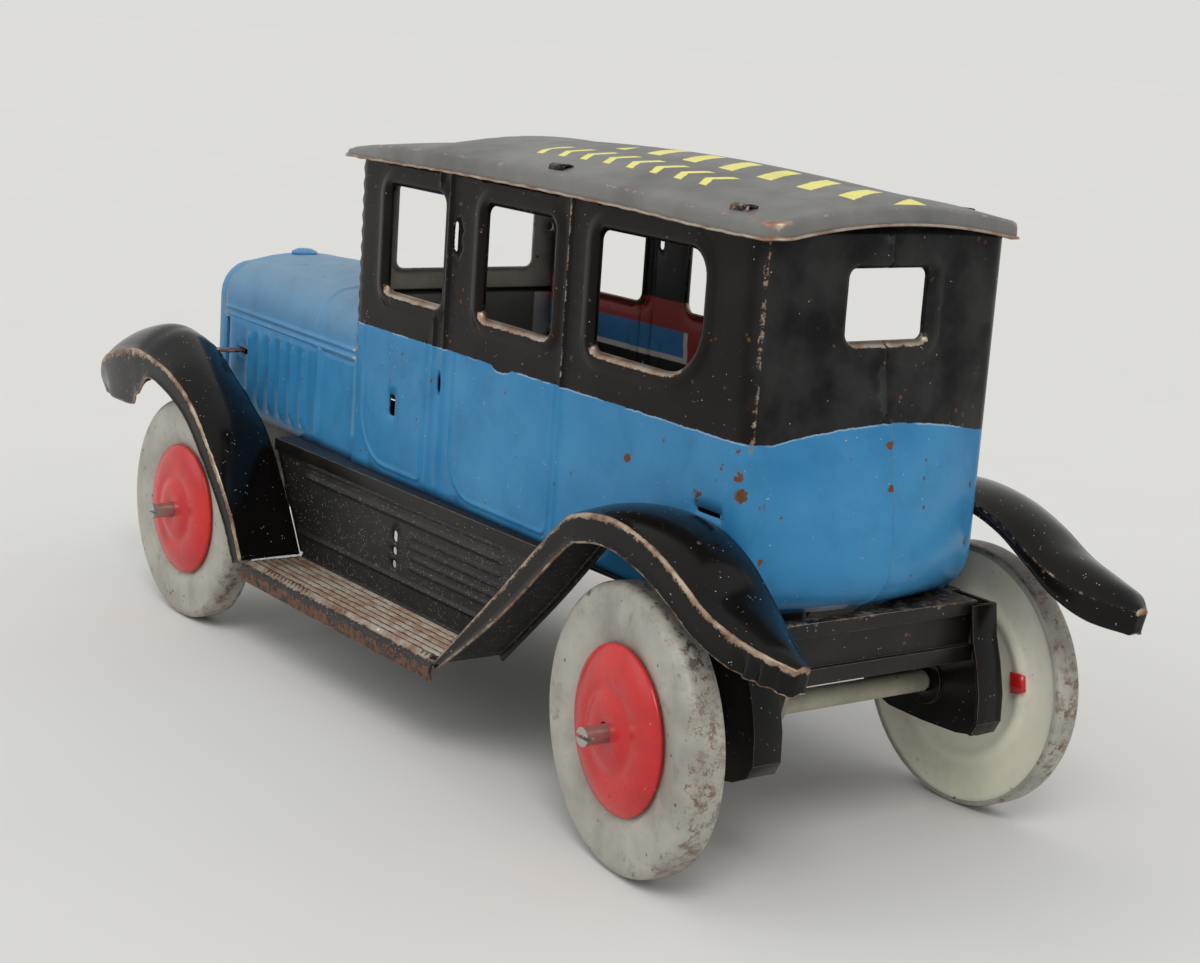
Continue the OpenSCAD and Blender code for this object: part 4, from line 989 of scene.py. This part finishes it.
def fender(node, stations, side, crimps=(), dents=(), bend=(0, 0, 0)):
    """A pressed fender: a crowned sheet with a flange folded down along both edges and round its tip."""
    rows = between(stations, 7)
    count, columns = len(rows), 17
    inner, outer = rows[:, :3] + (0, RIM, 0), rows[:, 3:6] - (0, RIM, 0)
    run = np.gradient((inner + outer) / 2, axis=0) * (1, 0, 1)
    run /= np.linalg.norm(run, axis=1)[:, None]
    up = np.column_stack([-run[:, 2], np.zeros(count), run[:, 0]]) * np.sign(run[0, 0])
    t = np.linspace(0, 1, columns)
    top = (inner[:, None] * (1 - t)[None, :, None] + outer[:, None] * t[None, :, None]
           + up[:, None] * (rows[:, 6][:, None] * (1 - (2 * t - 1) ** 2)[None])[:, :, None])
    for place, radius, deep in dents:
        push = deep * np.exp(-(np.linalg.norm(top - place, axis=2) / radius) ** 2)
        top -= up[:, None] * push[:, :, None]
    verts, faces = top.reshape(-1, 3), grid_faces(count, columns)
    grid = np.arange(count * columns).reshape(count, columns)
    edge = np.concatenate([grid[:, 0], grid[-1, 1:-1], grid[::-1, -1]])
    edge_at = verts[edge]
    depth = np.concatenate([rows[:, 8], np.linspace(rows[-1, 8], rows[-1, 7], columns)[1:-1], rows[::-1, 7]])
    ups = np.concatenate([up, np.repeat(up[-1:], columns - 2, 0), up[::-1]])
    outs = np.repeat([(0, -1.0, 0), run[-1], (0, 1.0, 0)], (count, columns - 2, count), axis=0)
    for _ in range(3):
        outs[1:-1] = (outs[:-2] + outs[1:-1] * 2 + outs[2:]) / 4
    outs /= np.linalg.norm(outs, axis=1)[:, None]
    crimp = np.zeros(len(edge))
    for x in crimps:
        crimp += 0.75 * swell(np.abs(edge_at[:, 0] - x), 1.0) * (edge_at[:, 1] > 33)
    wear = np.tile(np.clip((t - 0.93) / 0.07, 0, 1) * 0.35, count)
    wear[-columns:] = 0.5
    on_edge = np.where(np.arange(len(edge)) < count, 0.55, 1.0)     # the inner flange is worn less
    rings = [(out_by, np.minimum(down, depth * 0.5), worn) for out_by, down, worn in FOLD]
    rings += [(out_by, share * depth, worn) for out_by, share, worn in FLANGE]
    previous = edge
    for out_by, fall, worn in rings:
        notch = crimp * smooth_step(fall / depth, 0.05, 0.5)
        ring = edge_at + outs * (out_by - notch)[:, None] - ups * fall[:, None]
        current = np.arange(len(edge)) + len(verts)
        verts = np.vstack([verts, ring])
        wear = np.concatenate([wear, worn * on_edge])
        faces += zip(previous[1:], previous[:-1], current[:-1], current[1:])
        previous = current
    verts += smooth_step(-verts[:, 0], 62, 116)[:, None] * bend
    verts, faces = mirrored(verts, orient_up(verts, faces), side)
    return tin(f"{node}_tin", verts, faces, "fender under", (node,), "fender_black", wear=wear)


def fender_tab(label, side):
    """The tab that joins a front fender to the hood's side."""
    path = [(83.5, y, z) for y, z in ((26.8, 53.2), (25.6, 52.9), (24, 52.7), (21.4, 52.7), (20.2, 52.7))]
    verts, faces = mirrored(*strip(path, 3.6, (1, 0, 0)), side)
    piece(f"front_fender_tab_{label}", verts, faces, "black", BODY, (), "fender_black", 0.5, wear=0.7)


# ======== running boards ========
def running_board(label, side):
    """The board, with its ribbed tread, outer flange and the upright apron behind, pressed in one sheet."""
    node = f"running_board_{label}"
    x0, x1 = -27.6, 43.2
    apron_y, edge_y, tread_z = 25.2, 39.0, 17.9
    low_z, top_z = low("running_board_left")[2], high("running_board_left")[2]
    profile = [(apron_y, top_z)] + arc(apron_y + 0.9, tread_z + 0.9, 0.9, 180, 270, 5)
    profile += arc(edge_y - 0.8, tread_z - 0.8, 0.8, 90, 0, 5)
    profile = walk(profile + [(edge_y, low_z + 0.3), (edge_y - 0.5, low_z)], 0.25)
    run, normal = run_length(profile), outward(profile)
    tread = np.flatnonzero(np.abs(profile[:, 1] - tread_z) < 0.02)

    def at_y(y):
        return float(np.interp(y, profile[tread, 0], run[tread]))

    def at_z(z):
        return float(np.interp(-z, -profile[:tread[0], 1], run[:tread[0]]))

    def bead(at, start, end, height, width):
        return np.array([(start, at), (end, at)]), height, width

    treads = [bead(at_y(apron_y + 0.4 + 1.72 * k), x0 + 2.5, x1 - 1.6, 0.62, 0.62) for k in range(1, 8)]
    beads = treads + [bead(at_z(z), x0 + 1, x1 - 1, h, w)
                      for z, h, w in ((22.9, 0.4, 0.6), (34.6, 0.5, 0.7), (36.9, 0.25, 0.5))]
    beads += [bead(at_z(z), x0 + 1, 2, 0.28, 0.55) for z in (32.0, 30.0, 28.0, 26.0)]
    slots = [rounded(7.5, 9.3, at_z(z + h / 2), at_z(z - h / 2), (0.7,) * 4, step=0.4)
             for z, h in ((30.6, 2.2), (27.8, 1.6), (25.3, 1.6))]
    foot = at_z(tread_z + 1.2)
    outline = walk([(-45, 0), (55.8, 0), (55.8, at_z(38)), (44.4, foot), (x1, foot), (x1, run[-1]),
                    (x0, run[-1]), (x0, foot), (-29, foot), (-45, at_z(33))], 1.4, closed=True)
    rows = [r for line, h, w in beads for r in rows_beside(line, w, 1.4)]
    bends = [at_z(tread_z + 0.9) + k * 0.35 for k in range(5)]
    bends += [at_y(edge_y - 0.8) + k * 0.3 for k in range(6)] + [run[-1] - 0.5]
    across = np.linspace(x0 + 0.5, x1 - 0.5, 50)
    rows += [np.column_stack([across, np.full(50, t)]) for t in bends]
    points, faces = flat_sheet(outline, slots, rows, 1.9)
    t = points[:, 1]
    raised = [swell(distance(points, line), w) for line, h, w in beads]
    height = most(0, *[h * bead for bead, (line, h, w) in zip(raised, beads)])
    y, z = (np.interp(t, run, profile[:, k]) + height * np.interp(t, run, normal[:, k]) for k in (0, 1))
    wear = most(
        0, *[1.2 * bead for bead in raised[:len(treads)]], *[0.40 * bead for bead in raised[len(treads):]],
        0.75 * swell(np.abs(t - at_y(edge_y - 0.5)), 1.0),
        0.2 * ((z < 19) & (y > apron_y + 0.8)),
        0.7 * fade(run[-1] - t, 0.2, 0.8),
        *[0.35 * fade(distance(points, slot, closed=True), 0.1, 0.3) for slot in slots])
    rust = 0.5 * smooth_step(z, 18.0, 17.0) * (y > edge_y - 1)
    verts, faces = mirrored(np.column_stack([points[:, 0], y, z]), faces[:, ::-1], side)
    tin(f"{node}_tin", verts, faces, "board under", (node,), "chassis_black", wear=wear, rust=rust)


# ======== wheels ========
AXLE_X = {"rear": REAR_X, "front": FRONT_X}
REAR_LEAN = {"left": -7, "right": 0}        # degrees that a rear wheel is bent on its axle
BORE = AXLE_R + 0.05
# Sections of the discs, as radius and distance inwards of the tyre's face.
BACK_SECTION = np.array([
    (BORE, 6.9), (3.4, 6.85), (4.6, 6.6), (6.0, 6.1), (7.6, 5.82), (10.0, 5.72), (12.0, 5.68),
    (12.9, 5.95), (13.6, 6.28), (14.4, 6.3), (15.1, 5.9), (15.9, 5.55), (18.2, 5.5), (21.2, 5.55),
    (21.8, 5.75), (22.0, 5.6), (21.8, 5.15), (18.2, 5.1), (15.7, 5.1), (14.8, 5.5), (14.0, 5.85),
    (13.2, 5.5), (12.2, 5.25), (7.6, 5.4), (5.8, 5.7), (4.4, 6.15), (BORE, 6.4),
])
HUB_SECTION = np.array([
    (HUB_R - 0.1, 1.0), (HUB_R, 0.8), (HUB_R, 0.45), (HUB_R - 0.25, 0.2), (HUB_R - 0.9, -0.1),
    (11.4, -0.62), (9.6, -1.0), (8.2, -1.16), (7.4, -1.08), (6.8, -1.0), (6.1, -1.14), (5.3, -1.55),
    (4.4, -1.8), (3.2, -1.88), (2.2, -1.8), (BORE, -1.66), (BORE, -1.2), (3.2, -1.42), (4.3, -1.36),
    (5.2, -1.1), (6.0, -0.7), (6.8, -0.55), (8.2, -0.7), (9.4, -0.56), (11.2, -0.18),
    (HUB_R - 1.2, 0.3), (HUB_R - 0.7, 0.8),
])
HUB_TAB = [(12.2, 5.0), (12.2, 6.2), (12.4, 6.55), (13.0, 6.75), (14.4, 6.8), (15.6, 6.5)]


def tyre_section():
    """The pressed outer disc: a dished middle, a full face, a round shoulder and a flat tread, with its inner
    skin. The second value is the number of points on the outside."""
    face = [(10.2, 1.25), (12.4, 1.25), (13.5, 1.15), (14.3, 0.72), (15.4, 0.34), (17.0, 0.06), (18.6, 0.0),
            (19.8, 0.06)]
    shoulder = [(20.6 + 1.9 * math.cos(a), 2.0 - 1.9 * math.sin(a))
                for a in np.radians(np.linspace(82, 0, 8))]
    tread = [(WHEEL_R - sunk, inwards) for sunk, inwards in
             ((0, 2.6), (0, 3.4), (0.05, 4.4), (0.02, 5.2), (0.15, 5.75), (0.55, 6.0))]
    outer = face + shoulder + tread
    inner = [(r - 0.45 * (r > 19.5), inwards + (0.45 if inwards < 2 else 0.0)) for r, inwards in outer]
    return np.array(outer + inner[::-1]), len(outer)


def turned(kind, end, label, section, look, slot, crease=40, **values):
    """A part of a wheel: its closed section turned about the axle."""
    node, segments, n = f"{kind}_{end}_{label}", 144, len(section)
    turns = np.arange(segments) * 2 * math.pi / segments
    verts = [(AXLE_X[end] + r * math.cos(t), FACE_Y - inwards, AXLE_Z + r * math.sin(t))
             for t in turns for r, inwards in section]
    starts = n * np.arange(segments)
    faces = [(a + j, a + (j + 1) % n, b + (j + 1) % n, b + j)
             for a, b in zip(starts, np.roll(starts, -1)) for j in range(n)]
    verts, faces = mirrored(verts, faces, SIDES[label])
    values = {key: np.tile(v, segments) for key, v in values.items()}
    return piece(f"{node}_tin", verts, faces, look, f"{end}_wheels", (node,), slot, crease=crease, **values)


def lean(mesh, centre, degrees):
    """Turn a mesh about the upright line through a point, for a disc that sits bent on its axle."""
    middle = Matrix.Translation(Vector(centre) * MM)
    mesh.transform(middle @ Matrix.Rotation(math.radians(degrees), 4, "Z") @ middle.inverted())


def wheel(end, label, tilt=0):
    """A wheel's three discs and the hub's two tabs, bent over behind the back disc, all leaning by tilt."""
    side, middle = SIDES[label], np.array((AXLE_X[end], 0, AXLE_Z))
    section, outside = tyre_section()
    r, on_skin = section[:, 0], np.arange(len(section)) < outside
    wear = 0.16 + 0.34 * smooth_step(r, 19.8, 21.4) + 0.06 * smooth_step(r, 22.2, 22.4)
    made = [turned("tyre", end, label, section, "tyre", "tyre_grey", wear=np.where(on_skin, wear, 0.2),
                   rust=np.where(on_skin, 0.30 * smooth_step(r, 20.8, 22.3), 0.3))]
    r = BACK_SECTION[:, 0]
    made.append(turned("wheel_back", end, label, BACK_SECTION, "cream", "wheel_cream",
                       wear=0.30 * swell(np.abs(r - 14), 1.2) + 0.4 * smooth_step(r, 21, 21.9)))
    r = HUB_SECTION[:, 0]
    made.append(turned("hub", end, label, HUB_SECTION, "red", "hub_red", crease=50,
                       wear=0.32 * fade(r, 1.8, 3.4) + 0.34 * swell(np.abs(r - HUB_R), 0.8)))
    for k, angle in enumerate(np.radians((170, 350))):
        ray, turn = np.array((math.cos(angle), 0, math.sin(angle))), (-math.sin(angle), 0, math.cos(angle))
        path = [middle + ray * out + np.array((0, side * (FACE_Y - inwards), 0)) for out, inwards in HUB_TAB]
        verts, faces = strip(path, 3.4, turn)
        verts[-3:] += (path[-1] - verts[-3:]) * 0.25
        name, body = f"hub_tab_{end}_{label}_{k}", f"{end}_wheels"
        made.append(piece(name, verts, faces, "red", body, (), "hub_red", 0.35))
    for obj in made:
        lean(obj.data, (AXLE_X[end], side * (FACE_Y - 3), AXLE_Z), tilt)


# ======== carried-over and edge-rounded CAD nodes ========
def give(look, *nodes):
    for node in nodes:
        obj = frame["nodes"][node]
        obj.data.materials.clear()
        obj.data.materials.append(LOOKS[look])


def chassis_and_motor():
    worn_copy("chassis_tray", "chassis", "chassis_black", rubbed=lambda v: v[0] < -85 and v[2] > DECK_Z - 0.3)
    for node in ("front_hanger", "rear_bracket_left", "rear_bracket_right"):
        worn_copy(node, "black", "chassis_black")
    worn_copy("radiator", "blue", "hood_blue", 0.4)
    worn_copy("radiator_cap", "blue", "hood_blue", 0.25)
    give("plate_steel", "motor_plate_outer", "motor_plate_inner", "motor_pillars", "motor_rivets")
    give("steel", "rear_axle", "front_axle", "layshaft", "flywheel_shaft")
    give("steel", "layshaft_pinion", "flywheel_pinion")
    give("brass", "axle_gear", "layshaft_gear")
    give("iron", "flywheel")
    give("sleeve", "axle_sleeve")


# ======== camera, floor and light ========
def aim(obj, target):
    obj.rotation_mode = "QUATERNION"
    obj.rotation_quaternion = (Vector(target) - obj.location).to_track_quat("-Z", "Y")


def camera():
    """The photograph's view: behind the car's left rear corner, a little above its roof, rolled slightly."""
    yaw, pitch, roll = -0.636, 0.212, 0.069
    ahead = Vector((math.cos(yaw) * math.cos(pitch), math.sin(yaw) * math.cos(pitch), -math.sin(pitch)))
    right = Vector((math.sin(yaw), -math.cos(yaw), 0))
    up = right.cross(ahead)
    right, up = math.cos(roll) * right + math.sin(roll) * up, -math.sin(roll) * right + math.cos(roll) * up
    data = bpy.data.cameras.new("camera")
    data.sensor_width = 36
    data.lens = 65.68
    data.clip_start, data.clip_end = 0.01, 20
    obj = add_object("camera", data)
    obj.matrix_world = Matrix.Translation((-0.3288, 0.2286, 0.1279)) @ Matrix(
        ((right.x, up.x, -ahead.x), (right.y, up.y, -ahead.y), (right.z, up.z, -ahead.z))).to_4x4()
    bpy.context.scene.camera = obj


def floor():
    mesh = bpy.data.meshes.new("floor")
    mesh.from_pydata([(x, y, 0) for x, y in ((-6, -6), (6, -6), (6, 6), (-6, 6))], [], [(0, 1, 2, 3)])
    look = Look("floor_paper")
    grey = look.mix(look.noise(60, 3, seed=61), srgb(216, 216, 214), srgb(221, 221, 219))
    mesh.materials.append(look.finish(grey, 0.9))
    obj = add_object("floor", mesh)


def sun(name, place, angle, power, colour=(1, 1, 1)):
    data = bpy.data.lights.new(name, "SUN")
    data.angle = math.radians(angle)
    data.energy = power
    data.color = colour
    obj = add_object(name, data)
    obj.location = place
    aim(obj, (0, 0, 0.05))


def studio():
    world = bpy.data.worlds.new("studio")
    bpy.context.scene.world = world
    world.use_nodes = True
    sky = world.node_tree.nodes["Background"]
    sky.inputs["Color"].default_value = (1.0, 0.995, 0.985, 1)
    sky.inputs["Strength"].default_value = 0.72
    sun("key", (-0.55, 0.45, 0.9), 24, 1.0, (1.0, 0.98, 0.95))
    sun("fill", (0.5, 0.8, 0.6), 40, 0.35)
    bpy.context.scene.view_settings.view_transform = "Standard"


def build_car():
    for label, side in SIDES.items():
        body_half(f"body_{label}", side)
        fender(f"rear_fender_{label}", REAR_FENDER, side, REAR_CRIMPS, [REAR_DENT], BEND[label])
        fender(f"front_fender_{label}", FRONT_FENDER, side)
        fender_tab(label, side)
        running_board(label, side)
        wheel("rear", label, REAR_LEAN[label])
        wheel("front", label)
    windshield()
    hood_cover()
    roof_sheet()
    roof_tabs()
    chassis_and_motor()


camera()
floor()
studio()
build_car()
